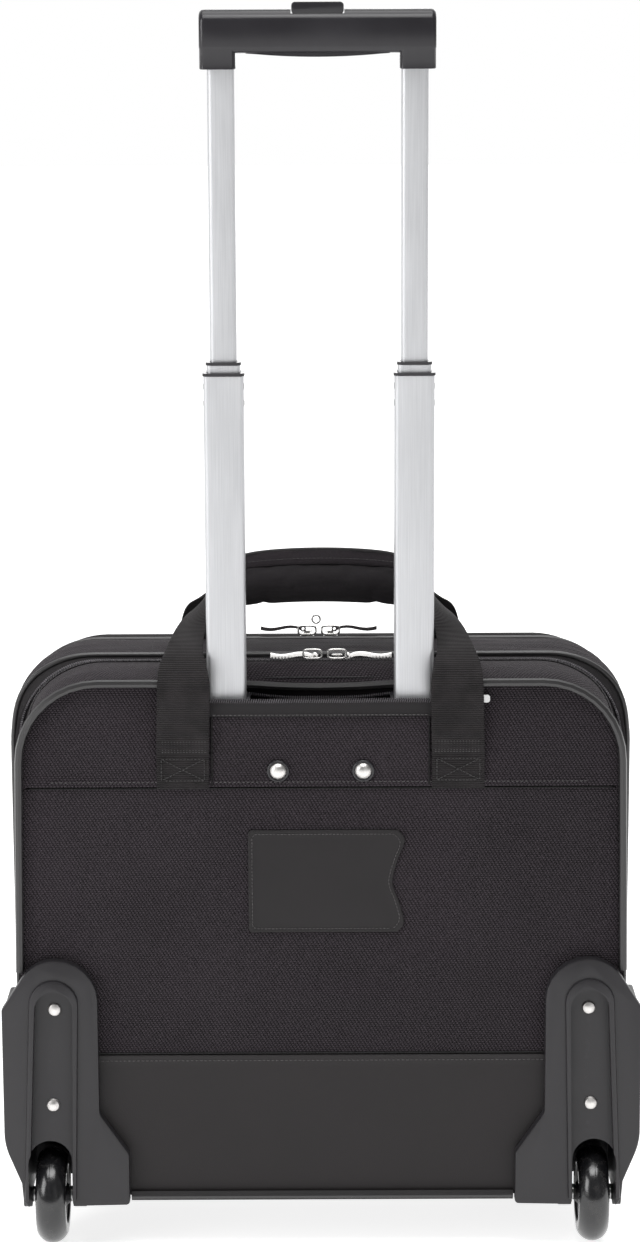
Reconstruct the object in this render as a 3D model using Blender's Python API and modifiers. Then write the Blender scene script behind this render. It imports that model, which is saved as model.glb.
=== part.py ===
"""Rolling laptop case: a soft three-section case on two wheels with a telescopic trolley handle.

Metres, +Z up. The rear panel, which carries the trolley and the wheels, faces -Y, and +X is to the
right seen from behind. Dimensions are given from the rear panel's plane (y = 0) and the floor
(z = 0); an empty then moves the whole case so that its box is centred over the origin.
"""

import math

import bmesh
import bpy
from mathutils import Vector

# ---------------------------------------------------------------- driving dimensions
CENTRE_Y = 0.0860  # middle of the case's depth, measured from the rear panel
GAP = 0.0003  # clearance between touching pieces
SIDES = (("left", -1), ("right", 1))

# soft sections, from the rear panel forwards
CASE_BOTTOM = 0.0400
CASE_TOP = 0.4300
TOP_RADIUS = 0.0580
BOTTOM_RADIUS = 0.0250
REAR_HALF_TOP = 0.2170
REAR_HALF_BOTTOM = 0.2240
MAIN_HALF = 0.2270
MAIN_TOP = 0.4290
FRONT_HALF = 0.2220
LAPTOP_ZIP_Y = 0.0600
MAIN_ZIP_Y = 0.1600
COVER_FRONT_Y = 0.1780
POCKET_FRONT_Y = 0.1940
FABRIC_WALL = 0.0035
PADDED_WALL = 0.0060

# trolley channel between the rear panel and the laptop compartment
NOTCH_HALF = 0.1140
NOTCH_BOTTOM = 0.4140
NOTCH_BACK = 0.0360
PARTITION = 0.0040

# telescopic trolley: outer half sizes across X and Y, wall, bottom and top of each stage
TROLLEY_X = 0.0677
TROLLEY_Y = 0.0160
TUBE_RADIUS = 0.0032
GUIDE = (0.0160, 0.0120, 0.0012, 0.0500, 0.4120)
LOWER = (0.01425, 0.0100, 0.0012, 0.3120, 0.6500)
MIDDLE = (0.0119, 0.0077, 0.0011, 0.3300, 0.6575)
UPPER = (0.0095, 0.0055, 0.0010, 0.5430, 0.8777)
BUSH_CLEARANCE = 0.0003
GRIP_HALF = 0.0824
GRIP_TOP = 0.9050
GRIP_BOTTOM = 0.8750
GRIP_LEG_BOTTOM = 0.8640
GRIP_LEG_WIDTH = 0.0256
GRIP_DEPTH_HALF = 0.0120
BUTTON_HALF = 0.0182
BUTTON_TOP = 0.9100
ROD_RADIUS = 0.0017
ROD_Z = 0.8860

# wheels and housings
WHEEL_X = 0.2010
AXLE_Y = 0.0140
WHEEL_RADIUS = 0.0360
TYRE_HALF = 0.0125
RIM_RADIUS = 0.0215
AXLE_RADIUS = 0.0040
HOUSING_INNER = 0.1424
HOUSING_OUTER = 0.2343
HOUSING_PEAK = 0.2247
HOUSING_FRONT_Y = 0.0580
HOUSING_BLOCK_TOP = 0.0880
HOUSING_SLANT_X = 0.1518
HOUSING_SLANT_Z = 0.0750
PLATE_FACE_Y = -0.0100
RIDGE_FACE_Y = -0.0130
CHANNEL_FLOOR_Y = -0.0040
CHANNEL_X = 0.1960
WELL_HALF = 0.01585
WELL_TOP = 0.0845
HOUSING_RIVETS = ((0.1957, 0.1862), (0.1981, 0.1125))

# trim
PIPING_RADIUS = 0.0030
PIPING_Y = -0.0033
HANDLE_RIVETS_X = 0.0308
HANDLE_RIVETS_Z = 0.3645
STRAP_THICKNESS = 0.0016
PAD_Y = 0.0900
PAD_RADIUS = 0.0160
PAD_HALF = 0.0740
PAD_Z = 0.4865
PAD_DROP = 0.0060

# zip sliders: name, side its pull points to, x, y and z of the slider's foot
SLIDER_FOOT_Z = CASE_TOP + GAP
TOP_SLIDERS = (
    ("laptop_zip_left", -1, -0.0010, LAPTOP_ZIP_Y - 0.0020),
    ("laptop_zip_right", 1, 0.0170, LAPTOP_ZIP_Y - 0.0020),
    ("main_zip_left", -1, -0.0100, MAIN_ZIP_Y),
    ("main_zip_right", 1, 0.0080, MAIN_ZIP_Y),
)
SLIDER_LENGTH = 0.0130
SLIDER_WIDTH = 0.0090
SLIDER_HEIGHT = 0.0042
LUG_HALF = 0.0040
PIN_HEIGHT = 0.0066
PIN_RADIUS = 0.0008
EYE_RADIUS = 0.0023
PULL_LENGTH = 0.0330
PULL_HALF_WIDTH = 0.0024


# ---------------------------------------------------------------- scene
def new_collection(name):
    made = bpy.data.collections.new(name)
    bpy.context.scene.collection.children.link(made)
    return made


def new_material(name, colour, roughness, metallic=0.0):
    made = bpy.data.materials.new(name)
    made.use_nodes = True
    shader = made.node_tree.nodes["Principled BSDF"]
    shader.inputs["Base Color"].default_value = (*colour, 1.0)
    shader.inputs["Roughness"].default_value = roughness
    shader.inputs["Metallic"].default_value = metallic
    return made


for leftover in list(bpy.data.objects):
    bpy.data.objects.remove(leftover, do_unlink=True)

PARTS = new_collection("rolling_laptop_case")
CUTTERS = new_collection("cutters")

FABRIC = new_material("woven fabric", (0.040, 0.035, 0.038), 0.85)
VINYL = new_material("smooth vinyl", (0.042, 0.038, 0.040), 0.55)
WEBBING = new_material("webbing", (0.030, 0.028, 0.029), 0.80)
BOARD = new_material("stiffener board", (0.020, 0.020, 0.020), 0.70)
PLASTIC = new_material("moulded plastic", (0.055, 0.053, 0.057), 0.45)
ALUMINIUM = new_material("anodised aluminium", (0.66, 0.66, 0.68), 0.35, 1.0)
CHROME = new_material("plated zinc", (0.75, 0.74, 0.72), 0.18, 1.0)
STEEL = new_material("steel", (0.60, 0.60, 0.60), 0.30, 1.0)
RUBBER = new_material("tyre rubber", (0.012, 0.012, 0.013), 0.25)


def new_empty(name, location, parent=None):
    """An empty at a place measured from the rear panel; a moving body's empty sits on its joint."""
    made = bpy.data.objects.new(name, None)
    PARTS.objects.link(made)
    made.empty_display_size = 0.02
    made.parent = parent
    origin = Vector(parent["place"]) if parent else Vector((0.0, 0.0, 0.0))
    made.location = Vector(location) - origin
    made["place"] = tuple(location)
    return made


def new_root():
    made = new_empty("case", (0.0, 0.0, 0.0))
    made.location = (0.0, -CENTRE_Y, 0.0)
    return made


ROOT = new_root()


def add_object(name, mesh, finish, location, turn=(0.0, 0.0, 0.0), parent=None):
    """A part in the parts collection, or a cutter where it has no finish."""
    made = bpy.data.objects.new(name, mesh)
    parent = parent or ROOT
    made.parent = parent
    made.location = Vector(location) - Vector(parent["place"])
    made.rotation_euler = turn
    if finish is None:
        CUTTERS.objects.link(made)
        made.hide_render = True
        made.display_type = "WIRE"
        return made
    PARTS.objects.link(made)
    mesh.materials.clear()
    mesh.materials.append(finish)
    return made


# ---------------------------------------------------------------- modelling tools
def modifier(obj, kind, **settings):
    made = obj.modifiers.new(kind.title(), kind)
    for key, value in settings.items():
        setattr(made, key, value)
    return made


def bevel(obj, width, segments=2, angle=40.0):
    modifier(
        obj,
        "BEVEL",
        width=width,
        segments=segments,
        limit_method="ANGLE",
        angle_limit=math.radians(angle),
    )
    return obj


def cut(obj, *cutters):
    for cutter in cutters:
        modifier(obj, "BOOLEAN", operation="DIFFERENCE", object=cutter)
    return obj


def join(obj, *others):
    for other in others:
        modifier(obj, "BOOLEAN", operation="UNION", object=other)
    return obj


def shade_round(obj, angle=35.0):
    obj.data.shade_smooth()
    obj.data.set_sharp_from_angle(angle=math.radians(angle))
    return obj


def block(name, finish, low, high, parent=None):
    """A box between two corners."""
    low = Vector(low)
    high = Vector(high)
    mesh = bpy.data.meshes.new(name)
    shape = bmesh.new()
    bmesh.ops.create_cube(shape, size=1.0)
    bmesh.ops.scale(shape, vec=high - low, verts=shape.verts)
    shape.to_mesh(mesh)
    shape.free()
    return add_object(name, mesh, finish, (low + high) / 2, parent=parent)


def cylinder(name, finish, centre, radius, length, turn, parent=None, sides=20):
    mesh = bpy.data.meshes.new(name)
    shape = bmesh.new()
    bmesh.ops.create_cone(
        shape,
        cap_ends=True,
        segments=sides,
        radius1=radius,
        radius2=radius,
        depth=length,
    )
    shape.to_mesh(mesh)
    shape.free()
    return add_object(name, mesh, finish, centre, turn, parent)


ALONG_X = (0.0, math.pi / 2, 0.0)
ALONG_Y = (math.pi / 2, 0.0, 0.0)
UPRIGHT = (0.0, 0.0, 0.0)
YZ_OUTLINE = (math.pi / 2, 0.0, math.pi / 2)


def curve_to_part(curve_object, name, finish, location, turn, parent, flat_caps=False):
    """The curve's solid as a mesh with its caps welded on; the curve is removed.

    With flat_caps, a cap's triangles become one face, so that a bevel along its rim stays even.
    """
    bpy.context.view_layer.update()
    graph = bpy.context.evaluated_depsgraph_get()
    mesh = bpy.data.meshes.new_from_object(curve_object.evaluated_get(graph))
    shape = bmesh.new()
    shape.from_mesh(mesh)
    bmesh.ops.remove_doubles(shape, verts=shape.verts, dist=1e-6)
    if flat_caps:
        flat = math.radians(0.5)
        bmesh.ops.dissolve_limit(shape, angle_limit=flat, verts=shape.verts, edges=shape.edges)
    bmesh.ops.recalc_face_normals(shape, faces=shape.faces)
    shape.to_mesh(mesh)
    shape.free()
    bpy.data.objects.remove(curve_object, do_unlink=True)
    return add_object(name, mesh, finish, location, turn, parent)


def add_poly_spline(curve, points, cyclic):
    spline = curve.splines.new("POLY")
    spline.points.add(len(points) - 1)
    for target, point in zip(spline.points, points):
        flat = tuple(point) + (0.0,) * (3 - len(point))
        target.co = (*flat, 1.0)
    spline.use_cyclic_u = cyclic


def outline_solid(name, finish, outlines, start, end, turn=ALONG_Y, parent=None, offset=(0, 0)):
    """Flat outlines, the later ones holes in the first, extruded from start to end.

    ALONG_Y takes outlines in X and Z, UPRIGHT in X and Y, and YZ_OUTLINE in Y and Z.
    """
    curve = bpy.data.curves.new(name, "CURVE")
    curve.dimensions = "2D"
    curve.fill_mode = "BOTH"
    curve.extrude = (end - start) / 2
    for points in outlines:
        add_poly_spline(curve, points, cyclic=True)
    made = bpy.data.objects.new(name + "_outline", curve)
    CUTTERS.objects.link(made)
    middle = (start + end) / 2
    u, v = offset
    places = {ALONG_Y: (u, middle, v), UPRIGHT: (u, v, middle), YZ_OUTLINE: (middle, u, v)}
    flat_caps = len(outlines) == 1
    return curve_to_part(made, name, finish, places[turn], turn, parent, flat_caps)


def rod(name, finish, points, radius, resolution=2, parent=None, cyclic=False):
    """A round bar or cord along points."""
    curve = bpy.data.curves.new(name, "CURVE")
    curve.dimensions = "3D"
    curve.bevel_depth = radius
    curve.bevel_resolution = resolution
    curve.use_fill_caps = not cyclic
    first = Vector(points[0])
    add_poly_spline(curve, [Vector(point) - first for point in points], cyclic)
    made = bpy.data.objects.new(name + "_path", curve)
    CUTTERS.objects.link(made)
    return curve_to_part(made, name, finish, first, UPRIGHT, parent)


def turned(name, finish, profile, location, turn, parent=None, steps=24, closed=False):
    """A profile of (radius, height), top to bottom on its outer side, turned about its axis."""
    mesh = bpy.data.meshes.new(name)
    shape = bmesh.new()
    verts = [shape.verts.new((radius, 0.0, height)) for radius, height in profile]
    for first, second in zip(verts, verts[1:]):
        shape.edges.new((first, second))
    if closed:
        shape.edges.new((verts[-1], verts[0]))
    shape.to_mesh(mesh)
    shape.free()
    made = add_object(name, mesh, finish, location, turn, parent)
    modifier(
        made,
        "SCREW",
        steps=steps,
        render_steps=steps,
        use_merge_vertices=True,
        merge_threshold=1e-5,
    )
    return made


def catmull_rom(points, per_span=4):
    """A smooth path through points, which may be vectors of any length."""
    path = []
    last = len(points) - 1
    for index in range(last):
        before = points[max(index - 1, 0)]
        start = points[index]
        end = points[index + 1]
        after = points[min(index + 2, last)]
        for step in range(per_span):
            t = step / per_span
            path.append(
                0.5
                * (
                    2 * start
                    + (end - before) * t
                    + (2 * before - 5 * start + 4 * end - after) * t**2
                    + (3 * start - before - 3 * end + after) * t**3
                )
            )
    path.append(points[last])
    return path


def ribbon(name, finish, stations, parent=None, per_span=3):
    """Webbing through stations of (centre, width direction, half width)."""
    centres = catmull_rom([Vector(centre) for centre, _, _ in stations], per_span)
    halves = catmull_rom(
        [Vector(across).normalized() * half for _, across, half in stations], per_span
    )
    origin = centres[0]
    mesh = bpy.data.meshes.new(name)
    shape = bmesh.new()
    rows = [
        (shape.verts.new(centre - half - origin), shape.verts.new(centre + half - origin))
        for centre, half in zip(centres, halves)
    ]
    for (a, b), (c, d) in zip(rows, rows[1:]):
        shape.faces.new((a, b, d, c))
    shape.to_mesh(mesh)
    shape.free()
    made = add_object(name, mesh, finish, origin, parent=parent)
    modifier(made, "SOLIDIFY", thickness=STRAP_THICKNESS, offset=0.0)
    return made


# ---------------------------------------------------------------- outlines
def rounded_polygon(corners, steps=6):
    """An outline of corners (u, v, radius), each rounded by an arc of its radius."""
    outline = []
    count = len(corners)
    for index, (u, v, radius) in enumerate(corners):
        corner = Vector((u, v))
        if radius == 0.0:
            outline.append(tuple(corner))
            continue
        before = (Vector(corners[index - 1][:2]) - corner).normalized()
        after = (Vector(corners[(index + 1) % count][:2]) - corner).normalized()
        half_angle = before.angle(after) / 2
        centre = corner + (before + after).normalized() * radius / math.sin(half_angle)
        reach = radius / math.tan(half_angle)
        first = corner + before * reach - centre
        last = corner + after * reach - centre
        start = math.atan2(first.y, first.x)
        sweep = math.atan2(last.y, last.x) - start
        sweep = (sweep + math.pi) % (2 * math.pi) - math.pi
        for step in range(steps + 1):
            angle = start + sweep * step / steps
            outline.append(
                (centre.x + radius * math.cos(angle), centre.y + radius * math.sin(angle))
            )
    return outline


def rounded_rectangle(half_u, half_v, radius, steps=3):
    return rounded_polygon(
        [
            (-half_u, -half_v, radius),
            (half_u, -half_v, radius),
            (half_u, half_v, radius),
            (-half_u, half_v, radius),
        ],
        steps,
    )


def case_outline(half_top, half_bottom, bottom, top, inset=0.0):
    """The case seen from behind: flat sides that widen downwards, with round corners."""
    return rounded_polygon(
        [
            (-half_bottom + inset, bottom + inset, BOTTOM_RADIUS - inset),
            (half_bottom - inset, bottom + inset, BOTTOM_RADIUS - inset),
            (half_top - inset, top - inset, TOP_RADIUS - inset),
            (-half_top + inset, top - inset, TOP_RADIUS - inset),
        ]
    )


def circle(u, v, radius, sides=12):
    return [
        (
            u + radius * math.cos(2 * math.pi * step / sides),
            v + radius * math.sin(2 * math.pi * step / sides),
        )
        for step in range(sides)
    ]


def mirrored(points, side):
    """The outline for the right side, flipped and reversed for the left."""
    if side > 0:
        return list(points)
    return [(-point[0], *point[1:]) for point in reversed(points)]


# ---------------------------------------------------------------- soft sections
def wheel_well_cutters():
    """The space for each wheel housing's block, with its inner top corner slanted as the block's."""
    gap = 0.0006
    space = [
        (HOUSING_INNER - gap, 0.0),
        (0.26, 0.0),
        (0.26, HOUSING_BLOCK_TOP + gap),
        (HOUSING_SLANT_X - gap, HOUSING_BLOCK_TOP + gap),
        (HOUSING_INNER - gap, HOUSING_SLANT_Z + gap),
    ]
    made = []
    for name, side in SIDES:
        made.append(
            outline_solid(
                "housing_clearance_" + name,
                None,
                [mirrored(space, side)],
                -0.02,
                HOUSING_FRONT_Y + gap,
            )
        )
    return made


def rivet_hole_cutters():
    made = []
    for name, side in SIDES:
        for index, (x, z) in enumerate(HOUSING_RIVETS):
            made.append(
                cylinder(
                    f"housing_rivet_hole_{name}_{index}",
                    None,
                    (side * x, 0.0, z),
                    0.0028,
                    0.05,
                    ALONG_Y,
                    sides=12,
                )
            )
        made.append(
            cylinder(
                "handle_rivet_hole_" + name,
                None,
                (side * HANDLE_RIVETS_X, 0.0, HANDLE_RIVETS_Z),
                0.0023,
                0.04,
                ALONG_Y,
                sides=12,
            )
        )
    return made


def make_soft_sections(wells, rivet_holes):
    """The three soft sections, with the laptop and main compartments as open trays."""
    rear = outline_solid(
        "rear_section",
        FABRIC,
        [case_outline(REAR_HALF_TOP, REAR_HALF_BOTTOM, CASE_BOTTOM, CASE_TOP)],
        0.0,
        LAPTOP_ZIP_Y,
    )
    laptop_space = outline_solid(
        "laptop_space",
        None,
        [case_outline(REAR_HALF_TOP, REAR_HALF_BOTTOM, CASE_BOTTOM, CASE_TOP, PADDED_WALL)],
        FABRIC_WALL,
        LAPTOP_ZIP_Y + 0.01,
    )
    handle_notch = block(
        "handle_notch",
        None,
        (-NOTCH_HALF, -0.01, NOTCH_BOTTOM),
        (NOTCH_HALF, NOTCH_BACK, CASE_TOP + 0.01),
    )
    cut(rear, laptop_space, handle_notch, *wells, *rivet_holes)

    inset = PADDED_WALL + GAP
    partition = outline_solid(
        "laptop_partition",
        BOARD,
        [case_outline(REAR_HALF_TOP, REAR_HALF_BOTTOM, CASE_BOTTOM, CASE_TOP, inset)],
        NOTCH_BACK + GAP,
        NOTCH_BACK + GAP + PARTITION,
    )
    cut(partition, *wells)

    main_hinge = new_empty("main_hinge", (0.0, MAIN_ZIP_Y, 0.0450), ROOT)
    main = outline_solid(
        "main_section",
        FABRIC,
        [case_outline(MAIN_HALF, MAIN_HALF, CASE_BOTTOM + GAP, MAIN_TOP)],
        LAPTOP_ZIP_Y + GAP,
        MAIN_ZIP_Y,
        parent=main_hinge,
    )
    main_space = outline_solid(
        "main_space",
        None,
        [case_outline(MAIN_HALF, MAIN_HALF, CASE_BOTTOM + GAP, MAIN_TOP, PADDED_WALL)],
        LAPTOP_ZIP_Y + PADDED_WALL,
        MAIN_ZIP_Y + 0.01,
    )
    cut(main, main_space)

    cover_hinge = new_empty("cover_hinge", (0.0, MAIN_ZIP_Y + GAP, 0.0500), main_hinge)
    cover = outline_solid(
        "front_cover",
        FABRIC,
        [case_outline(FRONT_HALF, FRONT_HALF, 0.0500, CASE_TOP - 0.004)],
        MAIN_ZIP_Y + GAP,
        COVER_FRONT_Y,
        parent=cover_hinge,
    )
    bevel(cover, 0.004, 1, angle=60.0)

    pocket = block(
        "front_pocket",
        FABRIC,
        (-0.190, COVER_FRONT_Y + GAP, 0.070),
        (0.190, POCKET_FRONT_Y, 0.320),
        parent=cover_hinge,
    )
    bevel(pocket, 0.004, 2)
    pocket_space = block(
        "pocket_space",
        None,
        (-0.186, COVER_FRONT_Y + 0.0030, 0.075),
        (0.186, POCKET_FRONT_Y - 0.0030, 0.340),
    )
    cut(pocket, pocket_space)
    return main_hinge


def make_base(wells):
    """The stiff bottom board and the two feet that the case stands on beside its wheels."""
    board = block("base_board", BOARD, (-0.212, 0.0020, 0.0350), (0.212, 0.1580, 0.0397))
    cut(bevel(board, 0.0008, 1), *wells)
    for name, side in SIDES:
        foot = turned(
            "front_foot_" + name,
            PLASTIC,
            [(0.0, 0.0347), (0.0170, 0.0347), (0.0150, 0.0100), (0.0135, 0.0), (0.0, 0.0)],
            (side * 0.1500, 0.1380, 0.0),
            UPRIGHT,
        )
        shade_round(foot)


def piping_path():
    """Round the rear panel from one housing to the other, and behind the trolley slot."""
    outer = []
    for angle in range(0, 91, 10):
        turn = math.radians(angle)
        outer.append(
            (
                REAR_HALF_TOP + 0.0010 - TOP_RADIUS * (1 - math.cos(turn)),
                PIPING_Y,
                CASE_TOP - TOP_RADIUS * (1 - math.sin(turn)),
            )
        )
    side_run = [(0.2205, PIPING_Y, 0.2145), (0.2193, PIPING_Y, 0.3000)]
    dip = catmull_rom(
        [
            Vector((0.1240, PIPING_Y, 0.4300)),
            Vector((0.1115, PIPING_Y, 0.4298)),
            Vector((0.1040, 0.0030, 0.4290)),
            Vector((0.0985, 0.0140, 0.4278)),
            Vector((0.0930, 0.0245, 0.4262)),
            Vector((0.0850, 0.0306, 0.4245)),
            Vector((0.0740, 0.0324, 0.4228)),
            Vector((0.0300, 0.0324, 0.4198)),
            Vector((0.0, 0.0324, 0.4190)),
        ],
        3,
    )
    half = [Vector(point) for point in side_run + outer] + dip
    return half + [Vector((-p.x, p.y, p.z)) for p in reversed(half[:-1])]


def make_trim():
    shade_round(rod("rear_piping", VINYL, piping_path(), PIPING_RADIUS))
    reach = HOUSING_INNER - 0.0010
    shade_round(
        rod(
            "bottom_piping",
            VINYL,
            [(-reach, PIPING_Y, 0.0415), (reach, PIPING_Y, 0.0415)],
            PIPING_RADIUS,
        )
    )
    wave = catmull_rom(
        [
            Vector((0.0555, 0.2440)),
            Vector((0.0603, 0.2510)),
            Vector((0.0570, 0.2660)),
            Vector((0.0520, 0.2815)),
            Vector((0.0560, 0.2990)),
            Vector((0.0610, 0.3135)),
            Vector((0.0560, 0.3206)),
        ],
        3,
    )
    corner = 0.0030
    tag = [tuple(point) for point in wave] + [
        (-0.0530 + corner, 0.3206),
        (-0.0530, 0.3206 - corner),
        (-0.0530, 0.2440 + corner),
        (-0.0530 + corner, 0.2440),
    ]
    outline_solid("tag_patch", VINYL, [tag], -0.0015, -GAP)


# ---------------------------------------------------------------- straps and carry handle
def make_straps(main_hinge):
    flat = Vector((1.0, 0.0, 0.0))
    upright = Vector((0.0, 0.0, 1.0))
    for name, side in SIDES:
        stations = [
            ((0.0995, -0.0013, 0.3520), flat, 0.0190),
            ((0.0995, -0.0015, 0.3740), flat, 0.0190),
            ((0.0992, -0.0046, 0.3860), flat, 0.0190),
            ((0.0985, -0.0056, 0.4180), flat, 0.0190),
            ((0.0980, -0.0086, 0.4310), flat, 0.0188),
            ((0.0985, -0.0050, 0.4420), flat, 0.0172),
            ((0.0978, 0.0090, 0.4520), flat, 0.0135),
            ((0.0945, 0.0310, 0.4620), flat, 0.0108),
            ((0.0890, 0.0540, 0.4725), Vector((1.0, 0.0, -0.5)), 0.0098),
            ((0.0835, 0.0740, 0.4790), Vector((0.7, 0.0, -1.2)), 0.0092),
            ((0.0780, 0.0860, 0.4805), upright * -1, 0.0090),
        ]
        ribbon(
            "rear_strap_" + name,
            WEBBING,
            [
                (
                    (side * centre[0], centre[1], centre[2]),
                    (side * across[0], across[1], across[2]),
                    half,
                )
                for centre, across, half in stations
            ],
        )

    leg = [
        ((0.0950, 0.1400, 0.4315), flat, 0.0120),
        ((0.0945, 0.1365, 0.4420), flat, 0.0120),
        ((0.0900, 0.1280, 0.4600), flat, 0.0112),
        ((0.0820, 0.1160, 0.4760), Vector((0.8, 0.0, -0.8)), 0.0105),
        ((0.0640, 0.1095, 0.4850), upright * -1, 0.0100),
        ((0.0300, 0.1090, 0.4875), upright * -1, 0.0100),
    ]
    middle = [((0.0, 0.1090, 0.4885), upright * -1, 0.0100)]
    other_leg = [
        ((-centre[0], centre[1], centre[2]), (-across[0], across[1], across[2]), half)
        for centre, across, half in reversed(leg)
    ]
    ribbon("front_strap", WEBBING, leg + middle + other_leg, parent=main_hinge)

    arch = []
    for step in range(13):
        share = step / 6 - 1
        arch.append((PAD_HALF * share, PAD_Y, PAD_Z - PAD_DROP * share**2))
    shade_round(rod("carry_handle", FABRIC, arch, PAD_RADIUS, resolution=4))


# ---------------------------------------------------------------- trolley
def tube(name, stage, x, parent=None):
    half_x, half_y, wall, bottom, top = stage
    outlines = [
        rounded_rectangle(half_x, half_y, TUBE_RADIUS),
        rounded_rectangle(half_x - wall, half_y - wall, TUBE_RADIUS - wall),
    ]
    made = outline_solid(
        name, ALUMINIUM, outlines, bottom, top, UPRIGHT, parent, (x, TROLLEY_Y)
    )
    return shade_round(made)


def collar(name, stage, inner_stage, x, flange, grow, parent=None, sleeve=0.0):
    """A bush on a stage's top that the next stage slides in: a flange, with a sleeve inside."""
    half_x, half_y, wall, _, top = stage
    hole = rounded_rectangle(
        inner_stage[0] + BUSH_CLEARANCE, inner_stage[1] + BUSH_CLEARANCE, TUBE_RADIUS
    )
    rim = rounded_rectangle(half_x + grow[0], half_y + grow[1], TUBE_RADIUS)
    made = outline_solid(
        name,
        PLASTIC,
        [rim, hole],
        top + GAP,
        top + GAP + flange,
        UPRIGHT,
        parent,
        (x, TROLLEY_Y),
    )
    if sleeve:
        inside = rounded_rectangle(half_x - wall - GAP, half_y - wall - GAP, TUBE_RADIUS)
        lining = outline_solid(
            name + "_sleeve",
            None,
            [inside, hole],
            top - sleeve,
            top + GAP + flange / 2,
            UPRIGHT,
            parent,
            (x, TROLLEY_Y),
        )
        join(made, lining)
    return shade_round(made)


def make_grip(parent):
    """The moulded bar with two legs that hold the upper tubes, a belly for the fingers,
    a recess for the button and a channel inside for the release rods."""
    low_y = TROLLEY_Y - GRIP_DEPTH_HALF
    high_y = TROLLEY_Y + GRIP_DEPTH_HALF
    bar = rounded_polygon(
        [
            (low_y, GRIP_BOTTOM, 0.0050),
            (high_y, GRIP_BOTTOM, 0.0050),
            (high_y, GRIP_TOP, 0.0095),
            (low_y, GRIP_TOP, 0.0095),
        ],
        5,
    )
    grip = outline_solid(
        "handle_grip", PLASTIC, [bar], -GRIP_HALF, GRIP_HALF, YZ_OUTLINE, parent
    )
    bevel(grip, 0.0035, 3, angle=60.0)
    leg_x = GRIP_HALF - GRIP_LEG_WIDTH / 2
    for name, side in SIDES:
        leg = outline_solid(
            "grip_leg_" + name,
            None,
            [rounded_rectangle(GRIP_LEG_WIDTH / 2 - 0.0002, GRIP_DEPTH_HALF - 0.0006, 0.0040, 4)],
            GRIP_LEG_BOTTOM,
            GRIP_TOP - 0.0120,
            UPRIGHT,
            parent,
            (side * leg_x, TROLLEY_Y),
        )
        join(grip, bevel(leg, 0.0006, 1, angle=60.0))
    belly = [(-0.0500, 0.8800), (-0.0500, 0.8748)]
    belly += [(0.0500 * step / 8, 0.8724 + 0.0026 * (step / 8) ** 2) for step in range(-7, 8)]
    belly += [(0.0500, 0.8748), (0.0500, 0.8800)]
    fingers = outline_solid(
        "grip_belly",
        None,
        [belly],
        TROLLEY_Y - 0.0085,
        TROLLEY_Y + 0.0085,
        ALONG_Y,
        parent,
    )
    join(grip, fingers)
    recess = block(
        "button_recess",
        None,
        (-BUTTON_HALF - 0.0004, TROLLEY_Y - 0.0094, 0.8945),
        (BUTTON_HALF + 0.0004, TROLLEY_Y + 0.0094, 0.9200),
        parent,
    )
    channel = block(
        "rod_channel",
        None,
        (-0.0740, TROLLEY_Y - 0.0045, 0.8795),
        (0.0740, TROLLEY_Y + 0.0045, 0.8952),
        parent,
    )
    cut(grip, recess, channel)
    half_x, half_y, _, _, top = UPPER
    for name, side in SIDES:
        socket = outline_solid(
            "tube_socket_" + name,
            None,
            [rounded_rectangle(half_x + GAP, half_y + GAP, TUBE_RADIUS)],
            0.8500,
            top + GAP,
            UPRIGHT,
            parent,
            (side * TROLLEY_X, TROLLEY_Y),
        )
        passage = block(
            "rod_passage_" + name,
            None,
            (side * TROLLEY_X - 0.0040, TROLLEY_Y - 0.0040, 0.8700),
            (side * TROLLEY_X + 0.0040, TROLLEY_Y + 0.0040, 0.8850),
            parent,
        )
        cut(grip, socket, passage)
    return grip


def make_release(parent):
    """The button and the two rods that it pushes down inside the upper tubes."""
    chamfer = 0.0040
    face = rounded_polygon(
        [
            (-BUTTON_HALF + chamfer, 0.8990, 0.0),
            (BUTTON_HALF - chamfer, 0.8990, 0.0),
            (BUTTON_HALF, 0.8990 + chamfer, 0.0),
            (BUTTON_HALF, BUTTON_TOP, 0.0025),
            (-BUTTON_HALF, BUTTON_TOP, 0.0025),
            (-BUTTON_HALF, 0.8990 + chamfer, 0.0),
        ],
        3,
    )
    button = outline_solid(
        "release_button",
        PLASTIC,
        [face],
        TROLLEY_Y - 0.0090,
        TROLLEY_Y + 0.0090,
        ALONG_Y,
        parent,
    )
    bevel(button, 0.0012, 2)
    stem = block(
        "button_stem",
        None,
        (-0.0060, TROLLEY_Y - 0.0030, ROD_Z + ROD_RADIUS + GAP),
        (0.0060, TROLLEY_Y + 0.0030, 0.9020),
        parent,
    )
    join(button, stem)
    for name, side in SIDES:
        bend = 0.0040
        corner = [
            (
                side * (TROLLEY_X - bend + bend * math.sin(math.radians(angle))),
                TROLLEY_Y,
                ROD_Z - bend + bend * math.cos(math.radians(angle)),
            )
            for angle in range(0, 91, 30)
        ]
        path = [(side * 0.0010, TROLLEY_Y, ROD_Z), *corner, (side * TROLLEY_X, TROLLEY_Y, 0.5520)]
        shade_round(rod("release_rod_" + name, STEEL, path, ROD_RADIUS, parent=parent))


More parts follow.
